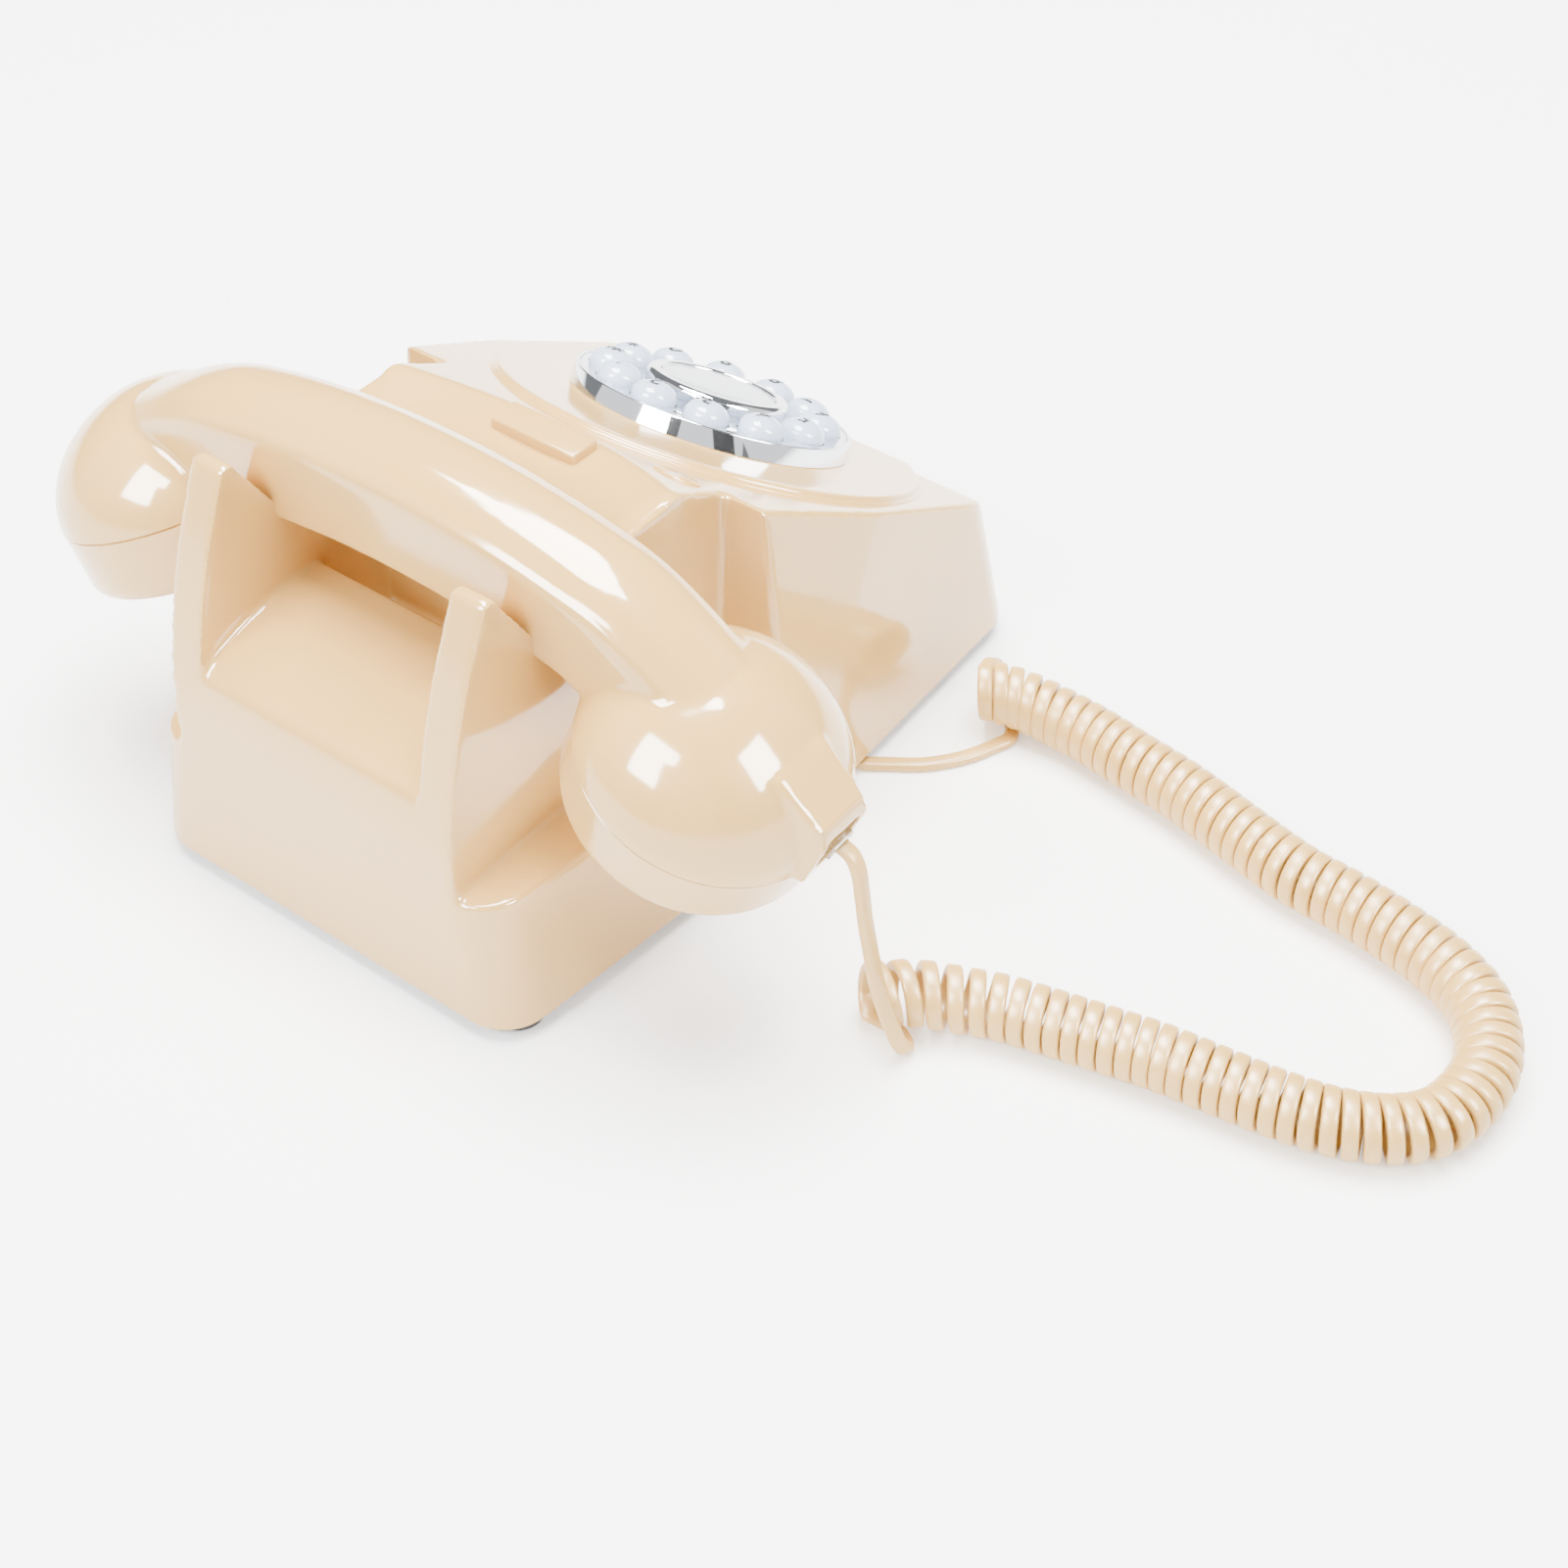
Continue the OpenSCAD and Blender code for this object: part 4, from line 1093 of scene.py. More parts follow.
@dataclass
class KeyDial:
    """The chrome dial: bezel, face plate, hub with its label, and the ring of keys."""

    finishes: Finishes
    place: Matrix
    bezel_radius: float = 36.0
    bezel_height: float = 4.8
    bezel_draft: float = 0.55
    rim: float = 1.6
    inner: float = 33.4
    plate_top: float = 4.6
    hub_radius: float = 18.4
    hub_height: float = 4.0
    label_radius: float = 14.6
    key_circle: float = 26.8
    key_radius: float = 5.6
    key_height: float = 4.6
    dome_height: float = 3.6
    flange_radius: float = 6.3
    flange_height: float = 0.4
    flange_gap: float = 0.3
    plate_recess: float = 1.8
    lens_wall: float = 1.0
    lens_dome: float = 1.2
    names: tuple[str, ...] = ("1", "2", "3", "4", "5", "6", "7", "8", "9", "0", "star", "hash")
    digit_size: float = 6.6
    digit_bold: float = 0.14
    print_edge: float = 0.5
    print_lift: float = 0.035

    def bezel(self) -> bpy.types.Object:
        """The outer chrome ring.

        Returns:
            The piece.
        """
        r, t = self.bezel_radius, self.bezel_height
        seat = self.plate_top - self.plate_recess
        top = r - self.bezel_draft
        profile = [(self.inner, 0.0), (r - 0.2, 0.0), (r, 0.2)]
        profile += arc((top - 0.3, t - 0.3), 0.3, 8, 90, 4)
        profile += arc((r - self.rim + 0.1, t - 0.1), 0.1, 90, 180, 2)
        profile += [(r - self.rim, seat), (self.inner, seat), (self.inner, 0.0)]
        ring = to_object(lathe(profile, 192), "dial_bezel_ring")
        self.finish(ring, Body.BASE.value, "dial_chrome")
        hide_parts("dial_bezel")
        return ring

    def hub(self) -> bpy.types.Object:
        """The raised hub ring that holds the label.

        Returns:
            The piece.
        """
        r, base, top = self.hub_radius, self.plate_top, self.plate_top + self.hub_height
        label = self.label_radius
        profile = [(label - 1.5, base), (r, base), (r, top - 2.0)]
        profile += arc((r - 1.6, top - 1.6), 1.6, 0, 90, 6)
        profile += arc((label + 0.7, top - 0.5), 0.5, 90, 180, 4)
        profile += [(label + 0.15, top - 2.2), (label - 1.5, top - 2.2), (label - 1.5, base)]
        ring = to_object(lathe(profile, 128), "dial_hub_ring")
        self.finish(ring, Body.BASE.value, "dial_chrome")
        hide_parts("hub_ring")
        return ring

    def finish(
        self, obj: bpy.types.Object, body: str, slot: str, local: Optional[Matrix] = None
    ) -> None:
        """Finishes a piece that was made in the dial's own frame."""
        self.finishes.dress(obj, body, slot, self.place @ (local or Matrix.Identity(4)))

    def key_place(self, index: int) -> Matrix:
        """Where a key stands in the dial's own frame.

        Args:
            index: The key's number, counted round the ring.

        Returns:
            The key's own frame.
        """
        angle = math.radians(60 + 30 * index)
        x, y = self.key_circle * math.cos(angle), self.key_circle * math.sin(angle)
        return Matrix.Translation((x, y, 0))

    def dome_z(self, radius: float) -> float:
        """Height of a key's domed top at a distance from its middle.

        Args:
            radius: Distance from the key's middle.

        Returns:
            Height over the dial's foot.
        """
        share = min(1.0, radius / self.key_radius)
        base = self.plate_top + self.key_height - self.dome_height
        return base + self.dome_height * math.sqrt(max(0.0, 1 - share * share))

    def key(self, index: int) -> bpy.types.Object:
        """One domed key.

        Args:
            index: The key's number, counted round the ring.

        Returns:
            The piece.
        """
        flange, wide = self.plate_top - self.plate_recess - self.flange_gap, self.flange_radius
        foot = flange - self.flange_height
        profile = [(0.0, foot), (wide, foot), (wide, flange), (self.key_radius, flange)]
        for step in range(0, 91, 6):
            r = self.key_radius * math.cos(math.radians(step))
            profile.append((max(r, 0.0) if step < 90 else 0.0, self.dome_z(r)))
        cap = to_object(lathe(profile, 48), f"key_cap_{self.names[index]}")
        self.finish(cap, f"key_{self.names[index]}", "key_plastic", self.key_place(index))
        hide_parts(f"key_{self.names[index]}")
        return cap

    def digit(self, index: int) -> bpy.types.Object:
        """The digit printed on a key, lying on its dome.

        Args:
            index: The key's number, counted round the ring.

        Returns:
            The piece.
        """
        name = self.names[index]
        text = bpy.data.curves.new(f"digit_{name}", "FONT")
        text.body = {"star": "*", "hash": "#"}.get(name, name)
        text.size = self.digit_size
        text.offset = self.digit_bold
        text.align_x, text.align_y = "CENTER", "CENTER"
        carrier = bpy.data.objects.new(f"digit_{name}", text)
        bpy.context.scene.collection.objects.link(carrier)
        bpy.context.view_layer.update()
        evaluated = carrier.evaluated_get(bpy.context.evaluated_depsgraph_get())
        mesh = bpy.data.meshes.new_from_object(evaluated)
        bpy.data.objects.remove(carrier)
        bm = bmesh.new()
        bm.from_mesh(mesh)
        bpy.data.meshes.remove(mesh)
        bmesh.ops.triangulate(bm, faces=bm.faces)
        for _ in range(2):
            long_edges = [e for e in bm.edges if e.calc_length() > self.print_edge]
            bmesh.ops.subdivide_edges(bm, edges=long_edges, cuts=1)
        for vertex in bm.verts:
            vertex.co.z = self.dome_z(vertex.co.xy.length) + self.print_lift
        bmesh.ops.recalc_face_normals(bm, faces=bm.faces)
        print_ = to_object(bm, f"digit_print_{name}")
        place = self.place @ self.key_place(index)
        finish_piece(print_, f"key_{name}", self.finishes.digits, place)
        return print_

    def lens(self) -> bpy.types.Object:
        """The clear lens over the label.

        Returns:
            The piece.
        """
        base, r = self.plate_top + self.hub_height - self.plate_recess, self.label_radius
        rim = base + self.lens_wall
        profile = [(0.0, base), (r, base), (r, rim)]
        for turn in map(math.radians, range(10, 90, 10)):
            profile.append((r * math.cos(turn), rim + self.lens_dome * math.sin(turn)))
        profile.append((0.0, base + 2.2))
        lens = to_object(lathe(profile, 96), "hub_lens")
        self.finish(lens, Body.BASE.value, "clear_lens")
        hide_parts("label_lens")
        return lens

    def build(self) -> None:
        """Builds the dial's pieces and every key."""
        self.bezel()
        self.hub()
        self.lens()
        for index in range(len(self.names)):
            self.key(index)
            self.digit(index)


# ---- Handset ----


@dataclass
class Handset:
    """The handset: arched handle, two domed heads and their caps."""

    finishes: Finishes
    head_x: float = 80.5
    seam_height: float = 66.5
    depth: float = 46.0
    tilt: float = 23.5
    head_radius: float = 31.0
    dome_rise: float = 25.5
    dome_power: float = 1.85
    arch_radius: float = 232.0
    handle_height: float = 100.0
    half_width: float = 13.4
    top_rise: float = 13.6
    bottom_drop: float = 13.4
    cap_height: float = 17.0
    cap_edge: float = 4.0
    skirt: float = 10.0
    throat_inset: float = 3.0
    throat_sunk: float = 14.5
    throat_lean: float = 8.0
    throat_steps: int = 8
    throat_taper: float = 0.04
    hole_radius: float = 1.1
    jack_up: float = 8.0
    voxel: float = 0.75
    passes: int = 22

    def roundness(self, co: Vector) -> float:
        """Share of the smoothing at a place: little at the jack, full where handle and domes meet.

        Args:
            co: The place, in millimetres.

        Returns:
            A share from 0 to 1.
        """
        local = self.head_place(Side.LEFT).inverted() @ co
        if local.x < -24 and abs(local.y) < 10 and local.z < 18:
            return 0.1
        if co.x > 0:
            local = self.head_place(Side.RIGHT).inverted() @ co
        # From 16 mm over the seam upwards, and within 46 mm of the head's axis
        high = min(1.0, max(0.0, (local.z - 16) / 5))
        near = min(1.0, max(0.0, (46 - local.xy.length) / 8))
        return 0.3 + 0.7 * high * near

    def head_place(self, side: int) -> Matrix:
        """Frame of a head, with its origin in the middle of the seam and Z along the head's axis.

        Args:
            side: -1 for the mouth's head and 1 for the ear's.

        Returns:
            The frame.
        """
        spot = (side * self.head_x, depth_y(self.depth), height_z(self.seam_height))
        return Matrix.Translation(spot) @ Matrix.Rotation(side * math.radians(self.tilt), 4, "Y")

    def section(self) -> list[tuple[float, float]]:
        """The handle's cross-section as widths and rises: crowned top, soft shoulders, flat sides.

        Returns:
            Width and rise of each corner.
        """
        w, up, down = self.half_width, self.top_rise, -self.bottom_drop
        shoulder, heel = 4.6, 2.2
        half = [(0.0, up), (w * 0.3, up - 0.35), (w * 0.56, up - 1.3)]
        half += reversed(arc((w - shoulder, up - 2.9 - shoulder), shoulder, -4, 66, 6))
        half += reversed(arc((w - 0.7 - heel, down + heel), heel, -86, -4, 4))
        half += [(0.0, down)]
        return half + [(-x, z) for x, z in reversed(half[1:-1])]

    def throat_angle(self) -> float:
        """Angle along the arch at which the handle starts to dive into a head."""
        return 0.86 * math.asin((self.head_x - 20) / self.arch_radius)

    def handle(self) -> bpy.types.Object:
        """Spins the handle's section along its arch.

        Returns:
            The solid.
        """
        centre = Vector((0, depth_y(self.depth), height_z(self.handle_height - self.arch_radius)))
        reach = self.throat_angle()
        bm = bmesh.new()
        start = Matrix.Translation(centre) @ Matrix.Rotation(-reach, 4, "Y")
        corners = [start @ Vector((0, w, self.arch_radius + z)) for w, z in self.section()]
        face = bm.faces.new([bm.verts.new(corner) for corner in corners])
        bmesh.ops.spin(
            bm,
            geom=[face],
            cent=centre,
            axis=(0, 1, 0),
            angle=2 * reach,
            steps=64,
            use_merge=False,
        )
        bmesh.ops.recalc_face_normals(bm, faces=bm.faces)
        return to_object(bm, "handle")

    def head(self, side: int) -> bpy.types.Object:
        """A domed head, drawn out below its seam so that the seam can be cut crisp.

        Args:
            side: -1 for the mouth's head and 1 for the ear's.

        Returns:
            The solid.
        """
        r, h, power = self.head_radius, self.dome_rise, 2 / self.dome_power
        profile = [(0.0, -self.skirt), (r, -self.skirt)]
        for step in range(24):
            turn = math.radians(90 * step / 24)
            profile.append((r * math.cos(turn) ** power, h * math.sin(turn) ** power))
        bm = lathe(profile + [(0.0, h)], 96)
        bmesh.ops.transform(bm, matrix=self.head_place(side), verts=bm.verts)
        return to_object(bm, "head")

    def throat(self, side: int) -> bpy.types.Object:
        """The end of the handle: flat-sided, its top diving into the head's dome.

        Args:
            side: -1 for the mouth's head and 1 for the ear's.

        Returns:
            The solid.
        """
        centre = Vector((0, depth_y(self.depth), height_z(self.handle_height - self.arch_radius)))
        place = Matrix.Translation(centre) @ Matrix.Rotation(side * self.throat_angle(), 4, "Y")
        bm = bmesh.new()
        for w, z in self.section():
            bm.verts.new(place @ Vector((0, w, self.arch_radius + z)))
        lean = math.radians(self.tilt + self.throat_lean)
        start = place @ Vector((0, 0, self.arch_radius))
        sunk = height_z(self.seam_height + self.throat_sunk)
        end = Vector((side * (self.head_x - self.throat_inset), depth_y(self.depth), sunk))
        bends = self.throat_angle(), lean
        pull = (end - start).length / 3
        ways = [Vector((side * math.cos(bend), 0, -math.sin(bend))) * pull for bend in bends]
        knots = (start, start + ways[0], end - ways[1], end)
        for step in range(1, self.throat_steps + 1):
            t = step / self.throat_steps
            spot = (1 - t) ** 3 * knots[0] + 3 * t * (1 - t) ** 2 * knots[1]
            spot += 3 * t * t * (1 - t) * knots[2] + t**3 * knots[3]
            turn = Matrix.Rotation(side * (bends[0] + (bends[1] - bends[0]) * t), 4, "Y")
            narrow = 1 - self.throat_taper * t
            for w, z in self.section():
                bm.verts.new(Matrix.Translation(spot) @ turn @ Vector((0, w * narrow, z)))
        return to_object(hull_of(bm), "throat")

    def shell(self) -> bpy.types.Object:
        """The handset's one-piece shell above the two seams.

        Returns:
            The piece.
        """
        solids = [self.handle(), self.head(Side.LEFT), self.jack_boss()]
        for solid in solids[1:]:
            combine(solid, self.jack_pocket(), "DIFFERENCE")
        solids += [self.head(Side.RIGHT), self.throat(Side.LEFT), self.throat(Side.RIGHT)]
        shell = gather(solids, "handset_moulding")
        soften(shell, self.voxel, self.passes, self.roundness)
        for side in Side:
            place = self.head_place(side)
            back = place.inverted()

            def reach(co: Vector, back: Matrix = back) -> bool:
                """Is a face in this head?"""
                local = back @ co
                return local.xy.length < self.head_radius + 2.5 and local.z < 12

            cut_below(shell, place.translation, place.to_3x3() @ UP, reach)
        self.finishes.dress(shell, Body.HANDSET.value, "handset_plastic")
        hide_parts("handset_shell")
        return shell

    def jack_boss(self) -> bpy.types.Object:
        """The faceted block that the jack looks out of.

        Returns:
            The solid.
        """
        bm = bmesh.new()
        out, wide, low, high = self.head_radius + 1.2, 8.6, -10.0, 15.5
        corners = [
            (-16.0, -wide, low),
            (-16.0, wide, low),
            (-16.0, wide, high + 6),
            (-16.0, -wide, high + 6),
            (-out, -wide, low),
            (-out, wide, low),
            (-out, wide * 0.92, high - 3),
            (-out, -wide * 0.92, high - 3),
            (-out + 2.2, wide * 0.86, high + 1),
            (-out + 2.2, -wide * 0.86, high + 1),
        ]
        for corner in corners:
            bm.verts.new(corner)
        bmesh.ops.transform(bm, matrix=self.head_place(Side.LEFT), verts=bm.verts)
        return to_object(hull_of(bm), "jack_boss")

    def jack_pocket(self) -> bpy.types.Object:
        """The hole in the mouth head that the jack fills.

        Returns:
            The solid to cut with.
        """
        bm = bmesh.new()
        bmesh.ops.create_cube(bm, size=1)
        bmesh.ops.scale(bm, vec=(6, 10.8, 9.8), verts=bm.verts)
        bmesh.ops.translate(bm, vec=(-self.head_radius - 0.6, 0, self.jack_up), verts=bm.verts)
        bmesh.ops.transform(bm, matrix=self.head_place(Side.LEFT), verts=bm.verts)
        return to_object(bm, "jack_pocket")

    def cap(self, side: int) -> bpy.types.Object:
        """A cap: fine seam, straight wall, rounded edge and a dished face.

        Args:
            side: -1 for the mouth's head and 1 for the ear's.

        Returns:
            The piece.
        """
        rim, h, edge = self.head_radius - 0.15, self.cap_height, self.cap_edge
        profile = [(rim - 2.6, -0.15), (rim - 0.5, -0.15), (rim, -0.55), (rim - 0.3, -6.0)]
        profile += arc((rim - 0.6 - edge, -h + edge), edge, 0, -90, 8)
        profile += [(rim - 7, -h + 0.4), (rim - 10, -h + 1.4), (12.0, -h + 3.2), (0.0, -h + 3.8)]
        profile += [(0.0, -h + 6.2), (12.0, -h + 5.6), (rim - 7.6, -h + 3.6), (rim - 3.8, -h + 6.5)]
        profile += [(rim - 2.6, -0.15)]
        name = "ear" if side == Side.RIGHT else "mouth"
        cap = to_object(lathe(profile, 96), f"{name}_cap_moulding")
        holes, circle = (6, 5.5) if side == Side.RIGHT else (8, 7.0)
        bm = bmesh.new()
        for index in range(holes + 1):
            angle = 2 * math.pi * index / holes
            out = 0.0 if index == holes else circle
            bmesh.ops.create_cone(
                bm,
                cap_ends=True,
                segments=20,
                radius1=self.hole_radius,
                radius2=self.hole_radius,
                depth=20,
                matrix=Matrix.Translation((out * math.cos(angle), out * math.sin(angle), -h + 4)),
            )
        combine(cap, to_object(bm, "holes"), "DIFFERENCE")
        self.finishes.dress(cap, Body.HANDSET.value, "handset_plastic", self.head_place(side))
        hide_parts(f"{name}_cap")
        return cap

    def build(self) -> None:
        """Builds the handset's pieces."""
        self.shell()
        for side in Side:
            self.cap(side)


# ---- Cord ----


@dataclass
class CoiledCord:
    """The flat cord: a lead from the base, the coil in its loop and a lead up to the handset."""

    finishes: Finishes
    width: float = 3.75
    thickness: float = 2.3
    coil_radius: float = 7.75
    steps_per_turn: int = 26
    dense_pitch: float = 4.2
    open_pitch: float = 5.6
    open_length: float = 42.0
    start_pitch: float = 4.02
    start_length: float = 12.0
    near_lift: tuple[float, float, float] = (4.2, 26.0, 1.5)
    far_lift: tuple[float, float, float] = (3.4, 24.0, 1.3)
    coil_gap: float = 0.25
    lead_gap: float = 0.9
    edge_radius: float = 0.75
    plug_tilt: float = 23.5
    route: tuple[tuple[float, float], ...] = (
        (-79, -58),
        (-87, -62),
        (-97, -64),
        (-108, -64),
        (-122, -62),
        (-137, -60),
        (-154, -56),
        (-172, -52),
        (-188, -51),
        (-202, -49),
        (-214, -46),
        (-224, -41),
        (-231, -33),
        (-235, -23),
        (-235, -12),
        (-232, -3),
        (-225, 4),
        (-215, 9),
        (-203, 12),
        (-190, 14),
        (-176, 16),
        (-163, 19),
        (-151, 22),
        (-140, 25),
        (-131, 29),
        (-123, 34),
        (-117.5, 40),
        (-115.2, 42.8),
    )
    base_lead: tuple[tuple[float, float, float], ...] = (
        (-50.2, -24, 9.1),
        (-53.2, -24, 9.0),
        (-56, -24, 7.6),
        (-59, -24.5, 4.8),
        (-62, -25.5, 2.4),
        (-65, -27, 1.5),
        (-69, -30, 1.3),
        (-76, -35, 1.3),
        (-81, -40.5, 1.3),
        (-84.5, -46, 1.3),
        (-87, -52, 1.3),
        (-88.5, -57, 1.5),
    )
    handset_lead: tuple[tuple[float, float, float], ...] = (
        (-118.6, 40.6, 2.6),
        (-122.2, 40.1, 1.4),
        (-125.4, 41.6, 1.3),
        (-127.3, 44.3, 2.8),
        (-126.8, 46.4, 6.6),
        (-125.3, 47.5, 12.4),
        (-123.5, 48.3, 19),
        (-121.9, 49.1, 27),
        (-120.9, 50.0, 36),
        (-120.1, 51.0, 45),
        (-119.6, 51.7, 53),
        (-118.8, 52, 60),
        (-116.9, 52, 63.9),
        (-114.15, 52, 65.1),
    )
    # Along the coil, across it and up: where the base lead goes round the back of the first turn
    round_back: tuple[tuple[float, float, float], ...] = (
        (7.0, 2.5, 1.4),
        (4.5, 8.6, 6.5),
        (1.6, 7.0, 15.0),
    )
    samples: list[Step] = field(default_factory=list)

    def smooth_line(self, points: Sequence[Vector], gap: float) -> list[Vector]:
        """Runs a smooth line through points and samples it evenly.

        Args:
            points: The points.
            gap: Distance between samples.

        Returns:
            The samples, from the first point to the last.
        """
        fine = []
        ends = [points[0] * 2 - points[1], *points, points[-1] * 2 - points[-2]]
        for a, b, c, d in zip(ends, ends[1:], ends[2:], ends[3:]):
            for i in range(24):
                t = i / 24
                bend = (2 * a - 5 * b + 4 * c - d) * t * t
                fine.append(0.5 * ((2 * b) + (c - a) * t + bend + (3 * b - a - 3 * c + d) * t**3))
        fine.append(points[-1].copy())
        even, carried = [fine[0]], 0.0
        for a, b in zip(fine, fine[1:]):
            step = (b - a).length
            while carried + step >= gap and step > 0:
                a = a + (b - a) * ((gap - carried) / step)
                even.append(a)
                step = (b - a).length
                carried = 0.0
            carried += step
        if (even[-1] - fine[-1]).length > gap * 0.3:
            even.append(fine[-1])
        return even

    def pitch(self, along: float, total: float) -> float:
        """Distance from one turn to the next at a place along the coil.

        Args:
            along: Distance along the coil.
            total: The coil's length.

        Returns:
            The pitch.
        """
        left = total - along
        if left < self.open_length:
            share = min(1.0, 1.6 * (1 - left / self.open_length))
            return self.dense_pitch + (self.open_pitch - self.dense_pitch) * share
        if along < self.start_length:
            return self.start_pitch
        return self.dense_pitch

    def coil(self) -> list[Step]:
        """Winds the coil along its route.

        Returns:
            Place and outward direction of each step.
        """
        gap = self.coil_gap
        axis = self.smooth_line([Vector((x, y, 0)) for x, y in self.route], gap)
        total = gap * (len(axis) - 1)
        radius = self.coil_radius - self.thickness / 2
        wound, along, angle = [], 0.0, math.pi / 2
        while along < total:
            index = min(len(axis) - 2, int(along / gap))
            share = along / gap - index
            centre = axis[index].lerp(axis[index + 1], share)
            heading = (axis[min(len(axis) - 1, index + 6)] - axis[max(0, index - 6)]).normalized()
            out = UP.cross(heading) * math.cos(angle) + UP * math.sin(angle)
            centre = centre + Vector((0, 0, self.coil_radius + self.lift(along, total)))
            wound.append((centre + out * radius, out))
            angle += 2 * math.pi / self.steps_per_turn
            along += self.pitch(along, total) / self.steps_per_turn
        # The last step is at the foot of a turn, where the cord leaves the coil
        while math.sin(angle) > -0.97:
            wound.pop()
            angle -= 2 * math.pi / self.steps_per_turn
        return wound

    def lift(self, along: float, total: float) -> float:
        """How high the coil's end turns lie on their own leads."""
        ends = ((along, *self.near_lift), (total - along, *self.far_lift))
        return sum(rise * max(0.0, 1 - at / reach) ** power for at, rise, reach, power in ends)

    def base_end(self, coil: list[Step]) -> list[Step]:
        """Lays the lead from the base, which goes up round the back of the coil's first turn.

        Args:
            coil: The coil's steps.

        Returns:
            The lead's steps, up to the coil.
        """
        start = Vector((*self.route[0], 0))
        heading = (Vector((*self.route[1], 0)) - start).normalized()
        side = UP.cross(heading)
        turn_up = [start + heading * a + side * n + UP * z for a, n, z in self.round_back]
        line = [*map(Vector, self.base_lead), *turn_up, coil[0][0]]
        middle = UP * (self.coil_radius + 3.0)
        lead = []
        for place in self.smooth_line(line, self.lead_gap)[:-1]:
            share = min(1.0, max(0.0, (place - start).dot(side) / 4.0 + 0.5))
            radial = place - start - middle
            radial -= heading * radial.dot(heading)
            lead.append((place, (-UP).lerp(radial.normalized(), share)))
        return lead

    def handset_end(self, coil: list[Step]) -> list[Step]:
        """Lays the lead up to the handset, whose flat side turns from the floor to the plug.

        Args:
            coil: The coil's steps.

        Returns:
            The lead's steps, from the coil on.
        """
        tilt = math.radians(self.plug_tilt)
        plug_flat = Vector((math.sin(-tilt), 0, math.cos(tilt)))
        # How far along the lead its flat side faces which way
        faces = (
            (0.0, -UP),
            (9.0, -UP),
            (17.5, Vector((-0.8, 0.6, 0))),
            (48.0, Vector((-1, 0, 0.2))),
            (78.0, plug_flat),
        )
        rise = self.smooth_line([coil[-1][0], *map(Vector, self.handset_lead)], self.lead_gap)
        lead, run = [], 0.0
        for before, place in zip(rise, rise[1:]):
            run += (place - before).length
            face = plug_flat
            for (a, face_a), (b, face_b) in zip(faces, faces[1:]):
                if a <= run < b:
                    face = face_a.lerp(face_b, (run - a) / (b - a))
            lead.append((place, face))
        return lead

    def lay(self) -> None:
        """Lists every step of the cord with the direction that its flat side faces."""
        coil = self.coil()
        self.samples = self.base_end(coil) + coil + self.handset_end(coil)

    def length(self) -> float:
        """Length of the whole cord."""
        return sum((b[0] - a[0]).length for a, b in zip(self.samples, self.samples[1:]))

    def section(self) -> list[tuple[float, float]]:
        """The flat cord's cross-section: across and out.

        Returns:
            Each corner's distance across and out.
        """
        r = self.edge_radius
        w, t = self.width / 2 - r, self.thickness / 2 - r
        corners = ((w, t, 0), (-w, t, 90), (-w, -t, 180), (w, -t, 270))
        points = []
        for x, y, start in corners:
            points += arc((x, y), r, start, start + 90, 2)
        return points

    def build(self) -> bpy.types.Object:
        """Sweeps the section along the cord.

        Returns:
            The piece.
        """
        self.lay()
        section = self.section()
        bm = bmesh.new()
        rings: list[list[bmesh.types.BMVert]] = []
        count = len(self.samples)
        for i, (place, out) in enumerate(self.samples):
            before = self.samples[max(0, i - 1)][0]
            after = self.samples[min(count - 1, i + 1)][0]
            heading = (after - before).normalized()
            across = heading.cross(out).normalized()
            square = across.cross(heading).normalized()
            rings.append([bm.verts.new(place + across * x + square * y) for x, y in section])
        for a, b in zip(rings, rings[1:]):
            for k in range(len(section)):
                j = (k + 1) % len(section)
                bm.faces.new((a[k], a[j], b[j], b[k]))
        bm.faces.new(list(reversed(rings[0])))
        bm.faces.new(rings[-1])
        bmesh.ops.recalc_face_normals(bm, faces=bm.faces)
        cord = to_object(bm, "coiled_cord_jacket")
        jacket = self.finishes.by_slot["cord_jacket"]
        finish_piece(cord, None, jacket, sharp_deg=60)
        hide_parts("handset_tail", "coiled_cord", "base_tail")
        LOG.info("cord length %.0f mm", self.length())
        return cord

    def declare(self, cord: bpy.types.Object) -> None:
        """Args:
            cord: The cord's piece.
        """
        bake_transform(cord)
        self.length() * MM


# ---- Studio ----


def direction(azimuth: float, elevation: float) -> Vector:
    """Unit vector of a direction in degrees, from +X round to +Y and up from the floor."""
    a, e = math.radians(azimuth), math.radians(elevation)
    return Vector((math.cos(a) * math.cos(e), math.sin(a) * math.cos(e), math.sin(e)))


@dataclass(frozen=True)
class Panel:
    """A lit box or a black card that hangs round the telephone, facing it."""

    azimuth: float
    elevation: float
    wide_deg: float
    high_deg: float
    radiance: float = 0.0
    distance: float = 1.5

    def size(self) -> tuple[float, float]:
        """Width and height in metres."""
        spans = (self.wide_deg, self.high_deg)
        width, height = (2 * self.distance * math.tan(math.radians(a) / 2) for a in spans)
        return width, height

    def place(self, middle: Vector) -> Matrix:
        """Where it hangs, with its -Z towards the telephone's middle.

        Args:
            middle: The telephone's middle, in metres.

        Returns:
            The panel's frame.
        """
        away = direction(self.azimuth, self.elevation)
        turn = (-away).to_track_quat("-Z", "Y").to_matrix().to_4x4()
        return Matrix.Translation(middle + away * self.distance) @ turn


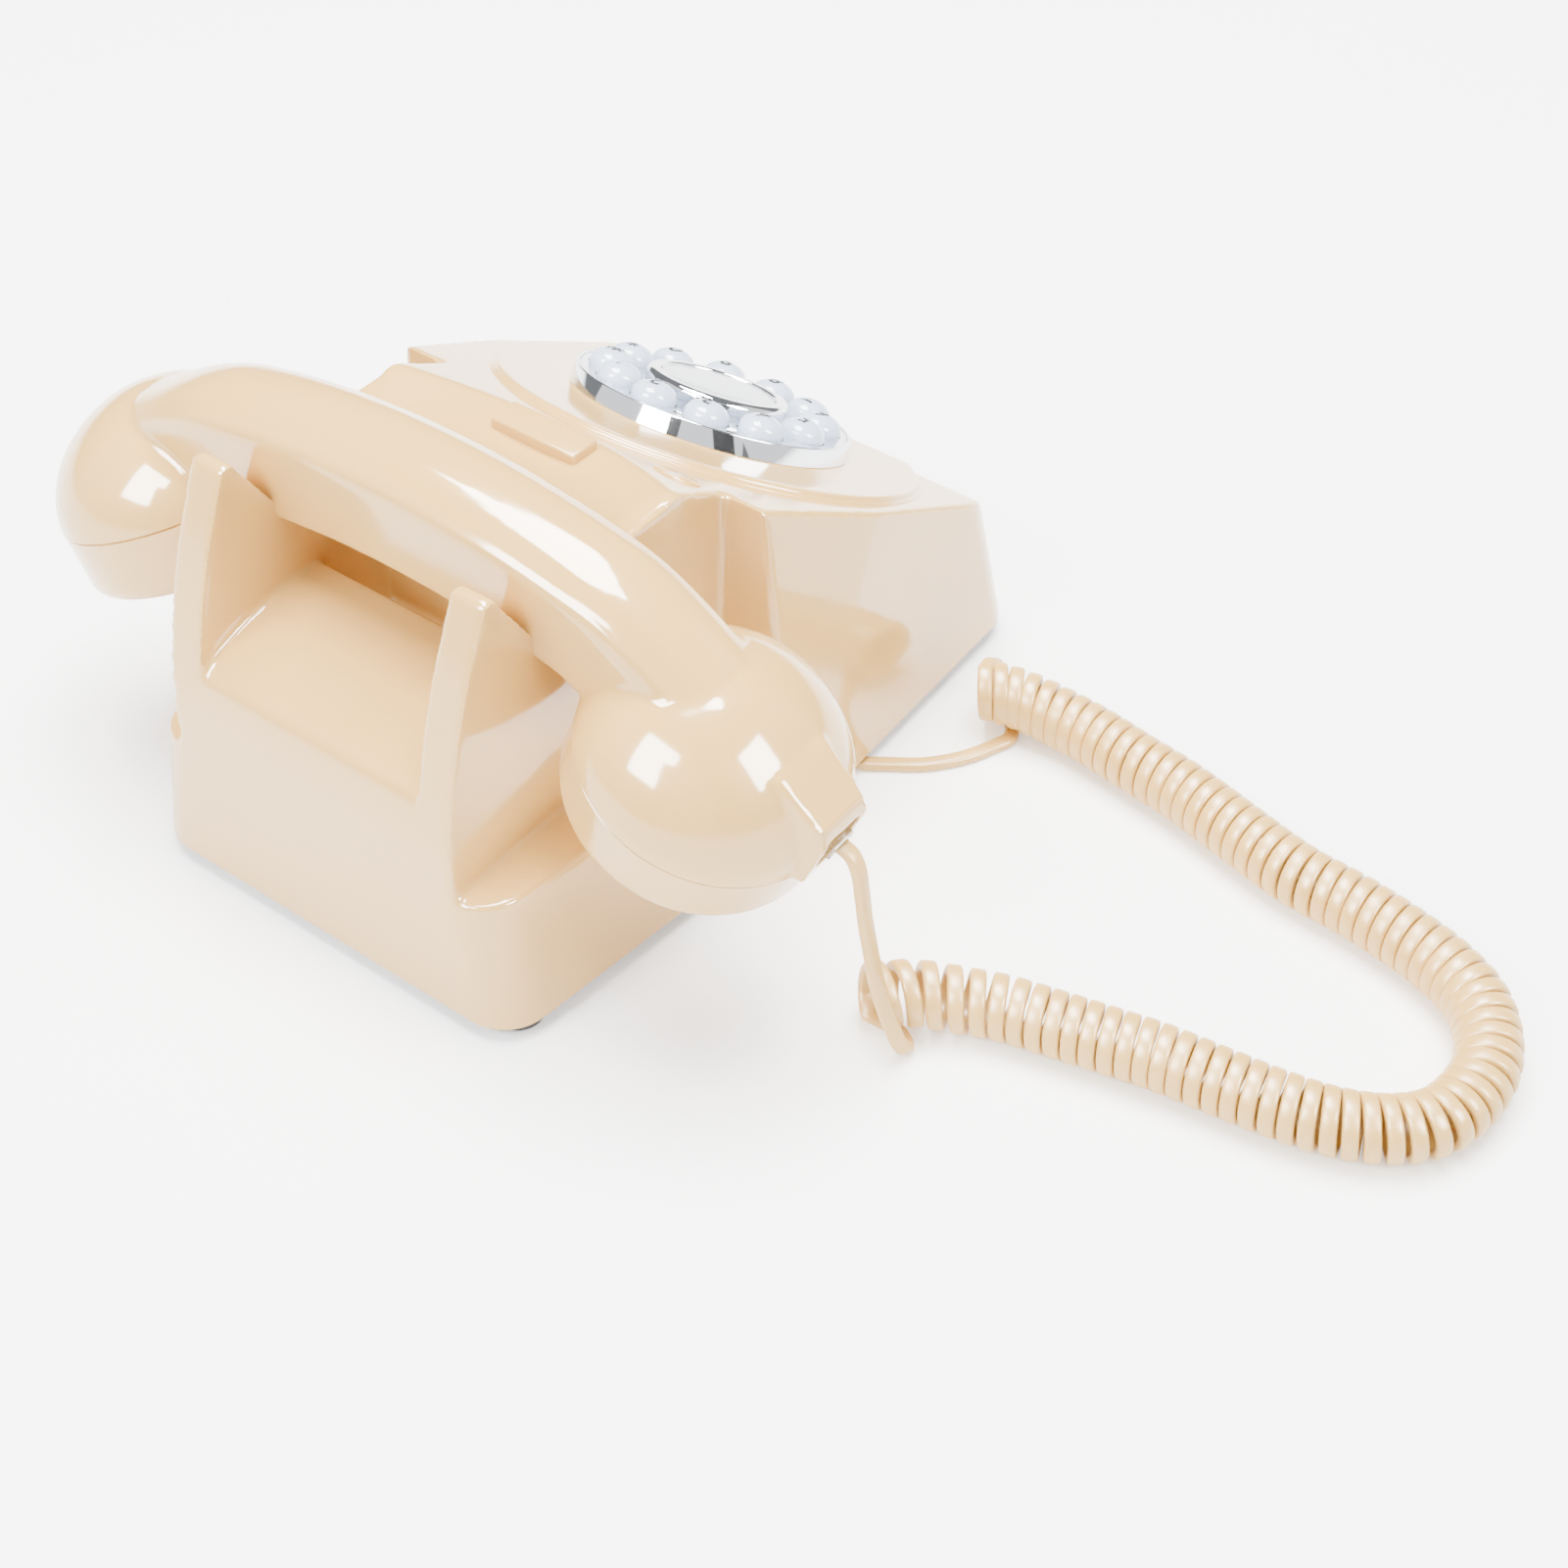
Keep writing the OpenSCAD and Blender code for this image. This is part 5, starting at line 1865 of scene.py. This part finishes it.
@dataclass
class Studio:
    """The camera, the pale floor, the lamps and the black cards that the chrome shows.

    The soft boxes light the surfaces and aren't mirrored. The windows are only mirrored.
    """

    camera_at: tuple[float, float, float] = (-0.33622, 0.36515, 0.44993)
    target: tuple[float, float, float] = (-0.05512, -0.00614, 0.0045)
    lens: float = 60.03
    middle: tuple[float, float, float] = (-0.03, 0.0, 0.07)
    floor_colour: str = "#FFFFFF"
    floor_glow: float = 0.6
    sky_high: float = 0.3
    sky_low: float = 0.3
    soft_boxes: tuple[Panel, ...] = (
        Panel(77, 42, 30, 14, 42.0),
        Panel(165, 49, 24, 14, 16.0),
        Panel(285, 80, 44, 44, 33.0),
    )
    windows: tuple[Panel, ...] = (
        Panel(80, 42, 30, 30, 85.0, distance=1.2),
        Panel(184, 35, 23, 27, 85.0, distance=1.2),
        Panel(315, 75, 26, 34, 100.0, distance=1.2),
        Panel(50, 22, 62, 56, 1.2, distance=1.8),
        Panel(122, 22, 72, 56, 1.2, distance=1.8),
        Panel(205, 22, 80, 56, 1.2, distance=1.8),
    )
    black_cards: tuple[Panel, ...] = (
        Panel(98, 31, 10, 30, distance=1.0),
        Panel(146, 22, 16, 34, distance=1.0),
    )

    def camera(self) -> None:
        """Sets up the camera."""
        data = bpy.data.cameras.new("camera")
        data.lens = self.lens
        data.sensor_width = 36
        data.clip_start = 0.01
        camera = bpy.data.objects.new("camera", data)
        camera.location = self.camera_at
        aim = Vector(self.target) - Vector(self.camera_at)
        camera.rotation_euler = aim.to_track_quat("-Z", "Y").to_euler()
        bpy.context.scene.collection.objects.link(camera)
        bpy.context.scene.camera = camera

    def floor(self) -> None:
        """Lays the plain pale floor, which glows a little as a lit acrylic table does."""
        bm = bmesh.new()
        bmesh.ops.create_grid(bm, x_segments=1, y_segments=1, size=6)
        floor = to_object(bm, "floor")
        material, _, shader = start_material("pale_floor")
        shader.inputs["Base Color"].default_value = linear(self.floor_colour)
        shader.inputs["Roughness"].default_value = 0.9
        shader.inputs["Specular IOR Level"].default_value = 0.1
        shader.inputs["Emission Color"].default_value = linear(self.floor_colour)
        shader.inputs["Emission Strength"].default_value = self.floor_glow
        floor.data.materials.append(material)

    def lights(self) -> None:
        """Hangs the soft boxes and the windows."""
        for glare, panels in ((False, self.soft_boxes), (True, self.windows)):
            for index, panel in enumerate(panels):
                name = f"{'window' if glare else 'soft_box'}_{index}"
                data = bpy.data.lights.new(name, "AREA")
                data.shape = "RECTANGLE"
                data.size, data.size_y = panel.size()
                data.energy = panel.radiance * math.pi * data.size * data.size_y
                light = bpy.data.objects.new(name, data)
                light.matrix_world = panel.place(Vector(self.middle))
                light.visible_diffuse = not glare
                light.visible_glossy = glare
                bpy.context.scene.collection.objects.link(light)

    def cards(self) -> None:
        """Hangs the black cards, which only reflections show."""
        material, _, shader = start_material("black_card")
        shader.inputs["Base Color"].default_value = linear("#050505")
        shader.inputs["Roughness"].default_value = 1.0
        for index, panel in enumerate(self.black_cards):
            bm = bmesh.new()
            bmesh.ops.create_grid(bm, x_segments=1, y_segments=1, size=0.5)
            width, height = panel.size()
            bmesh.ops.scale(bm, vec=(width, height, 1), verts=bm.verts)
            bmesh.ops.transform(bm, matrix=panel.place(Vector(self.middle)), verts=bm.verts)
            card = to_object(bm, f"black_card_{index}")
            card.data.materials.append(material)
            card.visible_camera = False
            card.visible_shadow = False
            card.visible_diffuse = False

    def sky(self) -> None:
        """Sets the room's even light, brighter overhead than at the horizon."""
        world = bpy.data.worlds.new("studio")
        bpy.context.scene.world = world
        world.use_nodes = True
        tree = world.node_tree
        place = add_node(tree, "ShaderNodeTexCoord")
        split = add_node(
            tree, "ShaderNodeSeparateXYZ", links={"Vector": place.outputs["Generated"]}
        )
        rise = add_node(
            tree,
            "ShaderNodeMapRange",
            {"From Min": -0.05, "From Max": 0.7, "To Min": self.sky_low, "To Max": self.sky_high},
            {"Value": split.outputs["Z"]},
        )
        background = tree.nodes["Background"]
        background.inputs["Color"].default_value = linear("#F8FAFD")
        tree.links.new(rise.outputs["Result"], background.inputs["Strength"])

    def build(self) -> None:
        """Sets the whole studio up."""
        self.camera()
        self.floor()
        self.lights()
        self.cards()
        self.sky()


def main() -> None:
    """Builds the telephone round its frame."""
    logging.basicConfig(level=logging.INFO, format="%(message)s")
    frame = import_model()
    Studio().build()
    finishes = Finishes()
    finishes.dress_frame(frame)
    cord = CoiledCord(finishes)
    cord_piece = cord.build()
    cord.declare(cord_piece)
    case = CaseMould(finishes)
    case.build()
    dial_place = case.face_place(case.dial_up) @ Matrix.Translation((0, 0, case.plinth_height))
    KeyDial(finishes, dial_place).build()
    Handset(finishes).build()


if __name__ == "__main__":
    main()
